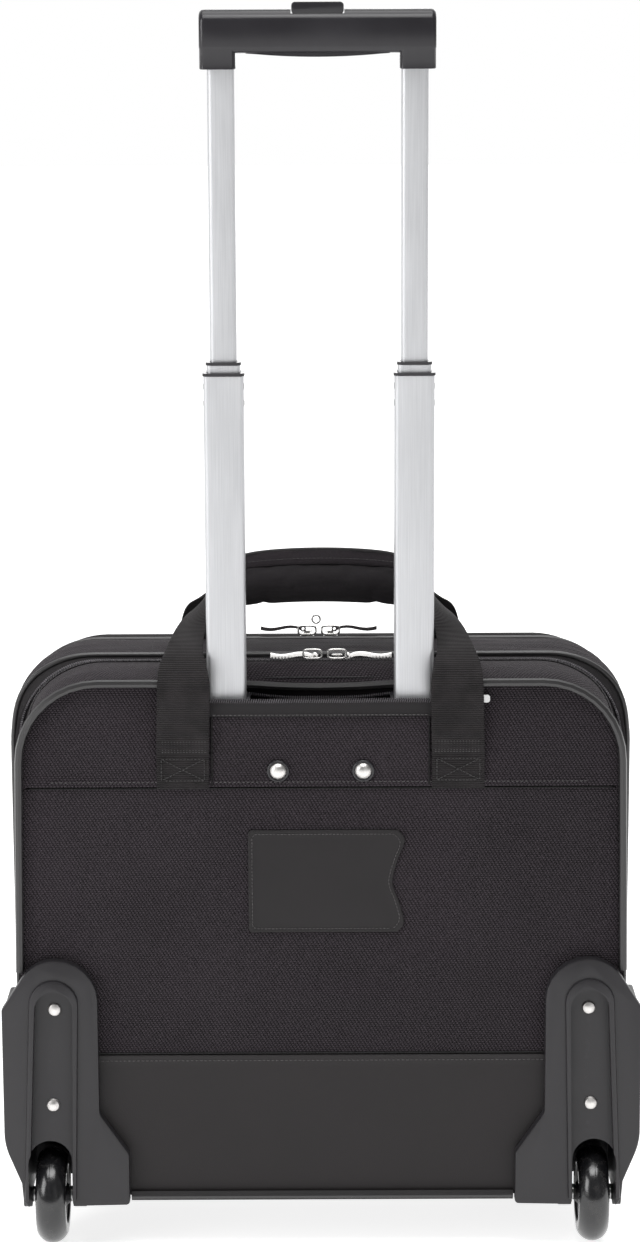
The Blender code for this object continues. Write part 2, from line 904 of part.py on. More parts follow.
def make_trolley_mounting():
    """The plastic base that the guide tubes stand in, and the bar riveted between them."""
    base = block(
        "trolley_base", PLASTIC, (-0.0920, 0.0038, 0.0463), (0.0920, 0.0340, 0.0640)
    )
    bevel(base, 0.0015, 1)
    for name, side in SIDES:
        seat = outline_solid(
            "guide_seat_" + name,
            None,
            [
                rounded_polygon(
                    [
                        (-GUIDE[0] - GAP, -0.0200, 0.0),
                        (GUIDE[0] + GAP, -0.0200, 0.0),
                        (GUIDE[0] + GAP, GUIDE[1] + GAP, 0.0030),
                        (-GUIDE[0] - GAP, GUIDE[1] + GAP, 0.0030),
                    ],
                    3,
                )
            ],
            GUIDE[3] - GAP,
            0.0800,
            UPRIGHT,
            None,
            (side * TROLLEY_X, TROLLEY_Y),
        )
        cut(base, seat)

    inner = TROLLEY_X - GUIDE[0] - 0.0004
    bar = block(
        "trolley_bracket",
        PLASTIC,
        (-inner, FABRIC_WALL + GAP, HANDLE_RIVETS_Z - 0.0110),
        (inner, 0.0140, HANDLE_RIVETS_Z + 0.0110),
    )
    bevel(bar, 0.0012, 1)
    for name, side in SIDES:
        x = side * HANDLE_RIVETS_X
        hole = cylinder(
            "bracket_hole_" + name,
            None,
            (x, 0.0100, HANDLE_RIVETS_Z),
            0.0023,
            0.0300,
            ALONG_Y,
            sides=12,
        )
        cut(bar, hole)
        rivet = turned(
            "handle_rivet_" + name,
            CHROME,
            [
                (0.0, 0.0044),
                (0.0028, 0.0041),
                (0.0050, 0.0030),
                (0.0058, 0.0017),
                (0.0062, 0.0013),
                (0.0078, 0.0011),
                (0.0080, GAP),
                (0.0020, GAP),
                (0.0020, -0.0130),
                (0.0, -0.0130),
            ],
            (x, 0.0, HANDLE_RIVETS_Z),
            ALONG_Y,
            steps=20,
        )
        shade_round(rivet)


def make_trolley():
    make_trolley_mounting()
    carriers = {}
    for name, side in SIDES:
        x = side * TROLLEY_X
        tube("guide_tube_" + name, GUIDE, x)
        collar("guide_collar_" + name, GUIDE, LOWER, x, 0.0040, (0.0010, 0.0002))
        lower = new_empty("lower_stage_" + name, (x, TROLLEY_Y, LOWER[3]), ROOT)
        tube("lower_tube_" + name, LOWER, x, lower)
        collar(
            "lower_collar_" + name,
            LOWER,
            MIDDLE,
            x,
            0.0020,
            (0.0007, 0.0007),
            lower,
            sleeve=0.0260,
        )
        middle = new_empty("middle_stage_" + name, (x, TROLLEY_Y, MIDDLE[3]), lower)
        tube("middle_tube_" + name, MIDDLE, x, middle)
        collar(
            "middle_collar_" + name,
            MIDDLE,
            UPPER,
            x,
            0.0020,
            (0.0007, 0.0007),
            middle,
            sleeve=0.0200,
        )
        carriers[name] = middle
    upper = new_empty("upper_stage", (0.0, TROLLEY_Y, UPPER[3]), carriers["left"])
    for name, side in SIDES:
        tube("upper_tube_" + name, UPPER, side * TROLLEY_X, upper)
    make_grip(upper)
    release = new_empty("release", (0.0, TROLLEY_Y, BUTTON_TOP), upper)
    make_release(release)


# ---------------------------------------------------------------- wheels
def housing_outline():
    """The right housing's rear plate: arched top, shoulder, foot towards the middle, and ear."""
    return rounded_polygon(
        [
            (HOUSING_INNER, 0.0360, 0.0030),
            (0.2180, 0.0345, 0.0),
            (0.2212, 0.0400, 0.0),
            (0.2222, 0.0530, 0.0015),
            (HOUSING_OUTER, 0.0830, 0.0500),
            (HOUSING_OUTER, 0.1870, 0.0040),
            (0.2102, HOUSING_PEAK, 0.0280),
            (0.1637, HOUSING_PEAK, 0.0308),
            (0.1637, 0.1070, 0.0100),
            (HOUSING_INNER, 0.0760, 0.0060),
        ],
        6,
    )


def stadium_down(top_z, half, bottom_half, bottom_z=0.0200):
    """A round-topped strip down the housing that drifts outwards to the wheel."""
    arc = [
        (
            CHANNEL_X + half * math.cos(math.radians(angle)),
            top_z - half + half * math.sin(math.radians(angle)),
        )
        for angle in range(0, 181, 15)
    ]
    return [
        (WHEEL_X - bottom_half, bottom_z),
        (WHEEL_X + bottom_half, bottom_z),
        *arc,
    ]


def make_housing(name, side):
    plate = outline_solid(
        "wheel_housing_" + name,
        PLASTIC,
        [mirrored(housing_outline(), side)],
        PLATE_FACE_Y,
        -0.0005,
    )
    bevel(plate, 0.0016, 2, angle=60.0)
    ridge = outline_solid(
        "housing_ridge_" + name,
        None,
        [mirrored(stadium_down(0.2100, 0.0180, 0.0193, 0.0400), side)],
        RIDGE_FACE_Y,
        -0.0050,
    )
    bevel(ridge, 0.0018, 2, angle=60.0)
    lower = rounded_polygon(
        [
            (HOUSING_INNER + 0.0005, 0.0365, 0.0030),
            (0.2175, 0.0365, 0.0),
            (0.2215, 0.0532, 0.0),
            (HOUSING_OUTER - 0.0005, 0.0832, 0.0200),
            (HOUSING_OUTER - 0.0005, HOUSING_BLOCK_TOP, 0.0),
            (HOUSING_SLANT_X, HOUSING_BLOCK_TOP, 0.0),
            (HOUSING_INNER + 0.0005, HOUSING_SLANT_Z, 0.0),
        ],
        4,
    )
    body = outline_solid(
        "housing_block_" + name, None, [mirrored(lower, side)], -0.0040, HOUSING_FRONT_Y
    )
    bevel(body, 0.0030, 2, angle=60.0)
    cheek_x = sorted((side * 0.2252, side * (HOUSING_OUTER - 0.0002)))
    cheek = block(
        "housing_cheek_" + name,
        None,
        (cheek_x[0], -0.0060, 0.0840),
        (cheek_x[1], HOUSING_FRONT_Y - 0.0002, 0.1840),
    )
    bevel(cheek, 0.0020, 2)
    boss = cylinder(
        "axle_boss_" + name,
        None,
        (side * 0.19935, AXLE_Y, WHEEL_RADIUS),
        0.0095,
        0.0463,
        ALONG_X,
        sides=24,
    )
    join(plate, ridge, body, cheek, boss)

    channel = outline_solid(
        "housing_channel_" + name,
        None,
        [mirrored(stadium_down(0.2020, 0.0140, WELL_HALF + 0.0006), side)],
        -0.0300,
        CHANNEL_FLOOR_Y,
    )
    arch = [
        (WHEEL_X - WELL_HALF, 0.0),
        (WHEEL_X + WELL_HALF, 0.0),
        *[
            (
                WHEEL_X + WELL_HALF * math.cos(math.radians(angle)),
                WELL_TOP - WELL_HALF + WELL_HALF * math.sin(math.radians(angle)),
            )
            for angle in range(0, 181, 15)
        ],
    ]
    well = outline_solid(
        "wheel_well_" + name, None, [mirrored(arch, side)], -0.0300, 0.0535
    )
    axle_hole = cylinder(
        "axle_hole_" + name,
        None,
        (side * 0.2080, AXLE_Y, WHEEL_RADIUS),
        AXLE_RADIUS + GAP,
        0.0620,
        ALONG_X,
        sides=16,
    )
    cut(plate, channel, well, axle_hole)
    for index, (x, z) in enumerate(HOUSING_RIVETS):
        hole = cylinder(
            f"plate_rivet_hole_{name}_{index}",
            None,
            (side * x, -0.0050, z),
            0.0028,
            0.0300,
            ALONG_Y,
            sides=12,
        )
        cut(plate, hole)
    return shade_round(plate, 30.0)


def make_housing_rivets(name, side):
    for label, (x, z) in zip(("upper", "lower"), HOUSING_RIVETS):
        floor = -CHANNEL_FLOOR_Y
        rivet = turned(
            f"housing_rivet_{label}_{name}",
            CHROME,
            [
                (0.0, floor + 0.0030),
                (0.0024, floor + 0.0027),
                (0.0043, floor + 0.0017),
                (0.0050, floor + GAP),
                (0.0025, floor + GAP),
                (0.0025, -0.0090),
                (0.0, -0.0090),
            ],
            (side * x, 0.0, z),
            ALONG_Y,
            steps=20,
        )
        shade_round(rivet)


def make_wheel(name, side):
    x = side * WHEEL_X
    hinge = new_empty("wheel_" + name, (x, AXLE_Y, WHEEL_RADIUS), ROOT)
    crown = [
        (
            WHEEL_RADIUS - TYRE_HALF + TYRE_HALF * math.cos(math.radians(angle)),
            TYRE_HALF * math.sin(math.radians(angle)),
        )
        for angle in range(75, -76, -15)
    ]
    shade_round(
        turned(
            "tyre_" + name,
            RUBBER,
            [
                (RIM_RADIUS + GAP, 0.0105),
                *crown,
                (RIM_RADIUS + GAP, -0.0105),
            ],
            (x, AXLE_Y, WHEEL_RADIUS),
            ALONG_X,
            hinge,
            steps=40,
            closed=True,
        ),
        50.0,
    )
    shade_round(
        turned(
            "wheel_hub_" + name,
            PLASTIC,
            [
                (0.0070, 0.0120),
                (0.0085, 0.0100),
                (0.0150, 0.0070),
                (0.0195, 0.0095),
                (RIM_RADIUS, 0.0085),
                (RIM_RADIUS, -0.0085),
                (0.0195, -0.0095),
                (0.0150, -0.0070),
                (0.0085, -0.0100),
                (0.0070, -0.0120),
                (AXLE_RADIUS + GAP, -0.0120),
                (AXLE_RADIUS + GAP, 0.0120),
            ],
            (x, AXLE_Y, WHEEL_RADIUS),
            ALONG_X,
            hinge,
            steps=28,
            closed=True,
        )
    )
    pin = cylinder(
        "axle_" + name,
        STEEL,
        (side * 0.2000, AXLE_Y, WHEEL_RADIUS),
        AXLE_RADIUS,
        0.0440,
        ALONG_X,
        sides=16,
    )
    shade_round(bevel(pin, 0.0005, 1))


# ---------------------------------------------------------------- zips
def pull_outline(side):
    """A flat wavy tab seen from its edge, with an eye for the slider's pin."""
    upper = []
    lower = []
    for step in range(1, 9):
        share = step / 8
        along = EYE_RADIUS * 0.8 + (PULL_LENGTH - EYE_RADIUS) * share
        wave = 0.0011 * math.sin(share * 2 * math.pi) + 0.0006
        thick = 0.0010 + 0.0005 * share
        upper.append((along, wave + thick))
        lower.append((along, wave - thick))
    eye = [
        (EYE_RADIUS * math.cos(math.radians(angle)), EYE_RADIUS * math.sin(math.radians(angle)))
        for angle in range(30, 331, 30)
    ]
    outline = eye + lower + list(reversed(upper))
    return mirrored(outline, side)


def make_top_slider(name, side, x, y, carrier):
    """A slider with a pin between two lugs, and the pull that turns on the pin."""
    foot = SLIDER_FOOT_Z
    slide = new_empty(name + "_slide", (x, y, foot), carrier)
    slider = block(
        name + "_slider",
        CHROME,
        (x - SLIDER_LENGTH / 2, y - SLIDER_WIDTH / 2, foot),
        (x + SLIDER_LENGTH / 2, y + SLIDER_WIDTH / 2, foot + SLIDER_HEIGHT),
        slide,
    )
    bevel(slider, 0.0012, 1)
    pin_x = x + side * 0.0030
    for label, lug_side in SIDES:
        centre_y = y + lug_side * (LUG_HALF - 0.0006)
        lug = block(
            f"{name}_lug_{label}",
            None,
            (pin_x - 0.0020, centre_y - 0.0006, foot + 0.0010),
            (pin_x + 0.0020, centre_y + 0.0006, foot + PIN_HEIGHT + 0.0018),
            slide,
        )
        join(slider, bevel(lug, 0.0005, 1))
    pin = cylinder(
        name + "_pin",
        None,
        (pin_x, y, foot + PIN_HEIGHT),
        PIN_RADIUS,
        2 * LUG_HALF - 0.0008,
        ALONG_Y,
        slide,
        sides=8,
    )
    join(slider, pin)

    hinge = new_empty(name + "_hinge", (pin_x, y, foot + PIN_HEIGHT), slide)
    pull = outline_solid(
        name + "_pull",
        CHROME,
        [pull_outline(side), circle(0.0, 0.0, PIN_RADIUS + 0.0004, 8)],
        y - PULL_HALF_WIDTH,
        y + PULL_HALF_WIDTH,
        ALONG_Y,
        hinge,
        (pin_x, foot + PIN_HEIGHT),
    )
    shade_round(pull)


def make_pocket_slider():
    """The trolley pocket's slider on the rear wall's top edge, under the right strap."""
    x = 0.0920
    z = NOTCH_BOTTOM + 0.0040
    slide = new_empty("trolley_zip_slide", (x, 0.0, z), ROOT)
    slider = block(
        "trolley_zip_slider",
        CHROME,
        (x - 0.0055, -0.0008, NOTCH_BOTTOM + GAP),
        (x + 0.0040, 0.0026, NOTCH_BOTTOM + 0.0073),
        slide,
    )
    bevel(slider, 0.0008, 1)
    stud = cylinder(
        "trolley_zip_stud",
        None,
        (x, -0.0016, z),
        0.0010,
        0.0036,
        ALONG_Y,
        slide,
        sides=10,
    )
    join(slider, stud)
    hinge = new_empty("trolley_zip_hinge", (x, -0.0022, z), slide)
    tab = rounded_polygon(
        [
            (-0.0026, -0.0026, 0.0020),
            (0.0120, -0.0020, 0.0),
            (0.0300, -0.0030, 0.0020),
            (0.0300, 0.0030, 0.0020),
            (0.0120, 0.0020, 0.0),
            (-0.0026, 0.0026, 0.0020),
        ],
        3,
    )
    outline_solid(
        "trolley_zip_pull",
        CHROME,
        [tab, circle(0.0, 0.0, 0.0014, 10)],
        -0.0029,
        -0.0014,
        ALONG_Y,
        hinge,
        (x, z),
    )


def main():
    wells = wheel_well_cutters()
    rivet_holes = rivet_hole_cutters()
    main_hinge = make_soft_sections(wells, rivet_holes)
    make_base(wells)
    make_trim()
    make_straps(main_hinge)
    make_trolley()
    for name, side in SIDES:
        make_housing(name, side)
        make_housing_rivets(name, side)
        make_wheel(name, side)
    for name, side, x, y in TOP_SLIDERS:
        carrier = main_hinge if name.startswith("main") else ROOT
        make_top_slider(name, side, x, y, carrier)
    make_pocket_slider()
    bpy.context.view_layer.update()


main()
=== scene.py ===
import math
from collections import namedtuple

import bmesh
import bpy
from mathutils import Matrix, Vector, noise


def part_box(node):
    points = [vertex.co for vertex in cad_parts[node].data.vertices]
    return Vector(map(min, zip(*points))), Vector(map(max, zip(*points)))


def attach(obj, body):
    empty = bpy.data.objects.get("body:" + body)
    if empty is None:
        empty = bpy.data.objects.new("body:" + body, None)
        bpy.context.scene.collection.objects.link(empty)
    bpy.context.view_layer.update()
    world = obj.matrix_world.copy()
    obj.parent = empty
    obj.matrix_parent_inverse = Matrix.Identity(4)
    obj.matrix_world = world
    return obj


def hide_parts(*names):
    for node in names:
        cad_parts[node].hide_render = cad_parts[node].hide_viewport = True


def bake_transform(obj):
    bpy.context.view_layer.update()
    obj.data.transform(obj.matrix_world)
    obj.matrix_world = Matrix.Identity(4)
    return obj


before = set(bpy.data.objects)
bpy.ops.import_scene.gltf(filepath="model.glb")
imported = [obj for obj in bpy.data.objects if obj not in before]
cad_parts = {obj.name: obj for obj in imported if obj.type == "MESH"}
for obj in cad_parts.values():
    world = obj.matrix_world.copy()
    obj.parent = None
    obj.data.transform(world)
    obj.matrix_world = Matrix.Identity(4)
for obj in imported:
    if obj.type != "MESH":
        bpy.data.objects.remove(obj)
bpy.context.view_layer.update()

# ---------------------------------------------------------------- driving dimensions
# Metres. y is given from the rear panel's plane, which faces the camera, and z from the floor.
REAR_LOW, REAR_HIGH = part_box("rear_section")
MAIN_LOW, MAIN_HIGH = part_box("main_section")
COVER_LOW, COVER_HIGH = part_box("front_cover")
POCKET_LOW, POCKET_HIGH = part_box("front_pocket")
REAR_PLANE = REAR_LOW.y
LAPTOP_ZIP = REAR_HIGH.y - REAR_PLANE
MAIN_ZIP = MAIN_HIGH.y - REAR_PLANE
COVER_FACE = COVER_HIGH.y - REAR_PLANE
POCKET_FACE = POCKET_HIGH.y - REAR_PLANE

Section = namedtuple("Section", "half_top half_bottom bottom top")
TOP_RADIUS = 0.058
BOTTOM_RADIUS = 0.025
REAR = Section(0.2170, 0.2240, REAR_LOW.z, REAR_HIGH.z)
MAIN = Section(MAIN_HIGH.x, MAIN_HIGH.x, MAIN_LOW.z, MAIN_HIGH.z)
COVER = Section(COVER_HIGH.x, COVER_HIGH.x, COVER_LOW.z, COVER_HIGH.z)
LAPTOP_LINE = Section(0.2215, 0.2255, REAR.bottom, REAR.top + 0.0030)
MAIN_LIFT = 0.0062  # how far the main section's top stands up along the laptop zip
MAIN_LINE = Section(0.2245, 0.2245, 0.0450, MAIN.top - 0.0010)

SEAM_Z = 0.3535  # the seam across the rear panel
VINYL_TOP = 0.1490  # top edge of the rear panel's vinyl
SIDE_VINYL_TOP = 0.2050  # top edge of the vinyl on the main section's flanks
NOTCH_HALF = 0.1140  # the rear's cloth is cut down to NOTCH_Z behind the trolley
NOTCH_Z = 0.4140
SLOT_BACK = 0.0324  # depth of the slot that the trolley stands in
SLOT_MIDDLE_Z = 0.4190  # how low the top's edge sags behind the trolley
HOUSING_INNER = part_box("wheel_housing_right")[0].x
HOUSING_BLOCK_TOP = 0.0880
ZIP_END_Z = 0.1000  # both zips end at this height on each flank
TEETH_PITCH = 0.0016
STITCH_PITCH = 0.0033
SIDES = (("left", -1), ("right", 1))
BACK = Vector((0.0, -1.0, 0.0))
FRONT = Vector((0.0, 1.0, 0.0))
CLOTH = 0.0012  # thickness of the outer cloth
LINING_INSET = 0.0045  # how far inside the cloth the lining runs
PANEL_COLUMNS = 110
SLOT_HALF = 0.124  # half the trolley slot's length, and half of its full-depth part
SLOT_DEEP_HALF = 0.085
POCKET_ZIP_Z = 0.4165  # the coil along the top of the trolley's pocket
POCKET_ZIP_HALF = 0.0985
WELL_INNER = 0.165  # the corner of the rear section that each wheel housing takes up
WELL_TOP = 0.0840
WELL_DEPTH = 0.0570
REAR_END = LAPTOP_ZIP - 0.0055  # where each section's cloth ends beside the two zips
MAIN_START = LAPTOP_ZIP + 0.0065
MAIN_END = MAIN_ZIP - 0.0065
COVER_START = MAIN_ZIP + 0.0050
LOOP_SHIFT = -0.0046  # the laptop zip's slider bodies stand this far beside their CAD places


def at(x, y, z):
    """A point given from the rear panel's plane, in the frame."""
    return Vector((x, REAR_PLANE + y, z))


def clamp(value, low=0.0, high=1.0):
    return max(low, min(high, value))


def smooth(value):
    value = clamp(value)
    return value * value * (3 - 2 * value)


def crumple(x, y, z, size):
    """A smooth random height from about -1 to 1 that changes over that size."""
    return noise.noise(Vector((x, y, z)) / size)


def smooth_path(points, per_span):
    """A Catmull-Rom path through the points."""
    path = []
    last = len(points) - 1
    for index in range(last):
        before = points[max(index - 1, 0)]
        start = points[index]
        end = points[index + 1]
        after = points[min(index + 2, last)]
        for step in range(per_span):
            t = step / per_span
            path.append(
                0.5
                * (
                    2 * start
                    + (end - before) * t
                    + (2 * before - 5 * start + 4 * end - after) * t**2
                    + (3 * start - before - 3 * end + after) * t**3
                )
            )
    path.append(points[last])
    return path


def resample(path, step):
    """Points a step apart along a path of (point, normal)."""
    made = [path[0]]
    carried = 0.0
    for (a, normal_a), (b, normal_b) in zip(path, path[1:]):
        length = (b - a).length
        if length == 0.0:
            continue
        along = step - carried
        while along <= length:
            share = along / length
            made.append((a.lerp(b, share), normal_a.lerp(normal_b, share).normalized()))
            along += step
        carried = length - (along - step)
    return made


# ---------------------------------------------------------------- materials
def link(tree, source, target):
    """Joins a node's output to another's input."""
    tree.links.new(source, target)


def feed(tree, socket, value):
    if isinstance(value, bpy.types.NodeSocket):
        link(tree, value, socket)
    else:
        socket.default_value = value


def calc(tree, operation, first, second=0.0, third=0.0):
    node = tree.nodes.new("ShaderNodeMath")
    node.operation = operation
    for socket, value in zip(node.inputs, (first, second, third)):
        feed(tree, socket, value)
    return node.outputs[0]


def coordinates(tree, kind="UV"):
    node = tree.nodes.new("ShaderNodeTexCoord")
    return node.outputs[kind]


def split(tree, vector):
    node = tree.nodes.new("ShaderNodeSeparateXYZ")
    link(tree, vector, node.inputs[0])
    return node.outputs


def scaled(tree, vector, scale):
    node = tree.nodes.new("ShaderNodeVectorMath")
    node.operation = "MULTIPLY"
    link(tree, vector, node.inputs[0])
    node.inputs[1].default_value = scale
    return node.outputs[0]


def cloud(tree, vector, scale, detail=3.0, roughness=0.55):
    node = tree.nodes.new("ShaderNodeTexNoise")
    link(tree, vector, node.inputs["Vector"])
    node.inputs["Scale"].default_value = scale
    node.inputs["Detail"].default_value = detail
    node.inputs["Roughness"].default_value = roughness
    return node.outputs["Fac"]


def span(tree, value, low, high, to_low=0.0, to_high=1.0):
    node = tree.nodes.new("ShaderNodeMapRange")
    link(tree, value, node.inputs["Value"])
    node.inputs["From Min"].default_value = low
    node.inputs["From Max"].default_value = high
    node.inputs["To Min"].default_value = to_low
    node.inputs["To Max"].default_value = to_high
    return node.outputs[0]


def blend_colours(tree, share, first, second):
    node = tree.nodes.new("ShaderNodeMix")
    node.data_type = "RGBA"
    feed(tree, node.inputs[0], share)
    for socket, value in ((node.inputs[6], first), (node.inputs[7], second)):
        feed(tree, socket, value if isinstance(value, bpy.types.NodeSocket) else (*value, 1.0))
    return node.outputs[2]


def bump(tree, shader, height, distance, strength=1.0):
    node = tree.nodes.new("ShaderNodeBump")
    link(tree, height, node.inputs["Height"])
    node.inputs["Distance"].default_value = distance
    node.inputs["Strength"].default_value = strength
    link(tree, node.outputs[0], shader.inputs["Normal"])


def new_material(name, **sockets):
    """A material, its tree and its shader, with sockets named by keyword, as in Coat_Weight=0.2."""
    made = bpy.data.materials.new(name)
    made.use_nodes = True
    shader = made.node_tree.nodes["Principled BSDF"]
    for key, value in sockets.items():
        shader.inputs[key.replace("_", " ")].default_value = value
    return made, made.node_tree, shader


def paint(tree, shader, share, dark, light):
    """The base colour, from dark to light by share."""
    link(tree, blend_colours(tree, share, dark, light), shader.inputs["Base Color"])


def polish(tree, shader, value, low, high, at_low, at_high):
    """The roughness, from at_low to at_high as the value goes from low to high."""
    link(tree, span(tree, value, low, high, at_low, at_high), shader.inputs["Roughness"])


def ripple(tree, value, pitch):
    """Even waves from -1 to 1, a pitch apart."""
    return calc(tree, "SINE", calc(tree, "MULTIPLY", value, 2 * math.pi / pitch))


def hump_of(tree, value):
    """One hump from 0 to 1 and back over each whole step of the value."""
    return calc(tree, "SINE", calc(tree, "MULTIPLY", calc(tree, "FRACT", value), math.pi))


def weave_height(tree, pitch, lean):
    """Rows of thick yarn humps, each row set on by lean of a pitch, so that they run diagonally."""
    u, v, _ = split(tree, coordinates(tree))
    row = calc(tree, "DIVIDE", v, pitch * 0.62)
    row_index = calc(tree, "FLOOR", row)
    along = calc(tree, "ADD", calc(tree, "DIVIDE", u, pitch), calc(tree, "MULTIPLY", row_index, lean))
    hump = hump_of(tree, along)
    across = hump_of(tree, row)
    return calc(tree, "MULTIPLY", calc(tree, "POWER", hump, 0.8), calc(tree, "POWER", across, 0.6))


def fabric_material(name, dark, light, pitch=0.0026, lean=0.36, depth=0.0008):
    """Ballistic nylon: a coarse weave, uneven dye, and a little sheen on the humps; the colour is
    painted dark in the weave's gaps as shade and lighter on the humps as painted light.
    """
    made, tree, shader = new_material(
        name, Roughness=0.78, Specular_IOR_Level=0.14, Sheen_Weight=0.05, Sheen_Roughness=0.45
    )
    height = weave_height(tree, pitch, lean)
    place = coordinates(tree, "Object")
    patches = span(tree, cloud(tree, place, 9.0), 0.3, 0.7)
    grain = span(tree, cloud(tree, place, 900.0, 1.0), 0.3, 0.7, -0.18, 0.18)
    # The weave's height darkens the colour in its gaps and lightens it on the humps, as painted shade
    # and painted light; grain and patches are the dye's own unevenness.
    share = calc(tree, "ADD", calc(tree, "MULTIPLY", height, 0.85), grain)
    share = calc(tree, "ADD", share, calc(tree, "MULTIPLY", patches, 0.18))
    paint(tree, shader, share, dark, light)
    polish(tree, shader, height, 0.0, 1.0, 0.88, 0.66)
    bump(tree, shader, height, depth)
    return made


def vinyl_material(name, dark, light, grain=1400.0, coat=0.04):
    """Smooth coated cloth with a fine grain and slow waves in its gloss."""
    made, tree, shader = new_material(
        name, Specular_IOR_Level=0.26, Coat_Weight=coat, Coat_Roughness=0.32
    )
    place = coordinates(tree, "Object")
    fine = cloud(tree, place, grain, 2.0)
    slow = cloud(tree, place, 14.0, 3.0)
    share = span(tree, slow, 0.3, 0.7)
    paint(tree, shader, share, dark, light)
    polish(tree, shader, slow, 0.3, 0.7, 0.52, 0.62)
    bump(tree, shader, fine, 0.00012, 0.8)
    return made


def webbing_material():
    """Nylon webbing: ribs across its length, a fine yarn along it, and worn patches."""
    made, tree, shader = new_material(
        "webbing", Specular_IOR_Level=0.16, Sheen_Weight=0.04, Sheen_Roughness=0.4
    )
    u, v, _ = split(tree, coordinates(tree))
    rib = span(tree, ripple(tree, v, 0.0016), -1.0, 1.0)
    yarn = span(tree, ripple(tree, u, 0.0012), -1.0, 1.0, 0.75, 1.0)
    height = calc(tree, "MULTIPLY", rib, yarn)
    place = coordinates(tree, "Object")
    worn = span(tree, cloud(tree, place, 60.0), 0.35, 0.7, 0.0, 0.35)
    # The ribs' grooves are painted darker as shade and their crests lighter as painted light; the worn
    # patches are the webbing's own wear.
    share = calc(tree, "ADD", calc(tree, "MULTIPLY", height, 0.7), worn)
    paint(tree, shader, share, (0.0034, 0.0029, 0.0031), (0.0330, 0.0293, 0.0306))
    polish(tree, shader, height, 0.0, 1.0, 0.75, 0.5)
    bump(tree, shader, height, 0.0005)
    return made


def tape_material():
    """Fine ribbed zip tape."""
    made, tree, shader = new_material("zip_tape", Specular_IOR_Level=0.3, Roughness=0.8)
    u, v, _ = split(tree, coordinates(tree))
    height = span(tree, ripple(tree, calc(tree, "ADD", u, v), 0.0011), -1.0, 1.0)
    # The colour follows the ribs: their grooves are painted dark as shade and their crests light as
    # painted light.
    paint(tree, shader, height, (0.0080, 0.0072, 0.0078), (0.0260, 0.0233, 0.0250))
    bump(tree, shader, height, 0.0002)
    return made


def plastic_material(name, dark, light, roughness, grain, depth):
    """Moulded plastic: a spark-eroded grain, uneven gloss, and paler scuffs on its edges."""
    made, tree, shader = new_material(name, Specular_IOR_Level=0.42)
    place = coordinates(tree, "Object")
    fine = cloud(tree, place, grain, 2.0)
    slow = cloud(tree, place, 22.0, 4.0)
    edges = tree.nodes.new("ShaderNodeNewGeometry").outputs["Pointiness"]
    scuff = calc(
        tree, "MULTIPLY", span(tree, edges, 0.56, 0.68),
        span(tree, cloud(tree, place, 260.0, 3.0), 0.5, 0.7, 0.0, 0.6)
    )
    base = blend_colours(tree, span(tree, slow, 0.3, 0.7), dark, light)
    pale = tuple(min(1.0, channel * 2.2) for channel in light)
    paint(tree, shader, scuff, base, pale)
    polish(tree, shader, slow, 0.3, 0.7, roughness - 0.05, roughness + 0.06)
    bump(tree, shader, fine, depth)
    return made


def aluminium_material():
    """Satin anodised tube: drawn lines along its length and faint handling marks."""
    made, tree, shader = new_material("satin_aluminium", Metallic=0.85)
    place = coordinates(tree, "Object")
    drawn = cloud(tree, scaled(tree, place, (1.0, 1.0, 0.012)), 1500.0, 2.0)
    marks = cloud(tree, scaled(tree, place, (1.0, 1.0, 0.3)), 45.0, 4.0)
    share = calc(
        tree, "ADD", span(tree, drawn, 0.3, 0.7, 0.0, 0.6), span(tree, marks, 0.35, 0.7, 0.0, 0.4)
    )
    paint(tree, shader, share, (0.51, 0.515, 0.53), (0.63, 0.635, 0.65))
    polish(tree, shader, marks, 0.3, 0.7, 0.40, 0.50)
    bump(tree, shader, drawn, 0.00002)
    return made


def metal_material(name, colour, roughness):
    """Plated or plain metal with fine scratches and a slightly uneven polish."""
    made, tree, shader = new_material(name, Metallic=1.0)
    place = coordinates(tree, "Object")
    fine = cloud(tree, scaled(tree, place, (1.0, 0.2, 1.0)), 1800.0, 2.0)
    slow = cloud(tree, place, 120.0, 3.0)
    dull = tuple(channel * 0.82 for channel in colour)
    paint(tree, shader, span(tree, slow, 0.35, 0.65), dull, colour)
    polish(tree, shader, slow, 0.3, 0.7, roughness * 0.8, roughness * 1.3)
    bump(tree, shader, fine, 0.00003)
    return made


def tyre_material():
    """Cast polyurethane: glossy, with dust in a fine grain where it runs on the floor."""
    made, tree, shader = new_material(
        "tyre", Specular_IOR_Level=0.55, Coat_Weight=0.35, Coat_Roughness=0.12
    )
    place = coordinates(tree, "Object")
    dust = span(tree, cloud(tree, place, 180.0, 4.0), 0.5, 0.75)
    paint(tree, shader, dust, (0.008, 0.008, 0.009), (0.022, 0.021, 0.021))
    polish(tree, shader, dust, 0.0, 1.0, 0.20, 0.38)
    bump(tree, shader, cloud(tree, place, 700.0, 2.0), 0.00004)
    return made


def thread_material(name, dark, light):
    """Twisted polyester thread."""
    made, tree, shader = new_material(name, Roughness=0.5, Sheen_Weight=0.2)
    place = coordinates(tree, "Object")
    twist = cloud(tree, place, 1600.0, 1.0)
    paint(tree, shader, span(tree, twist, 0.35, 0.65), dark, light)
    bump(tree, shader, twist, 0.0001)
    return made


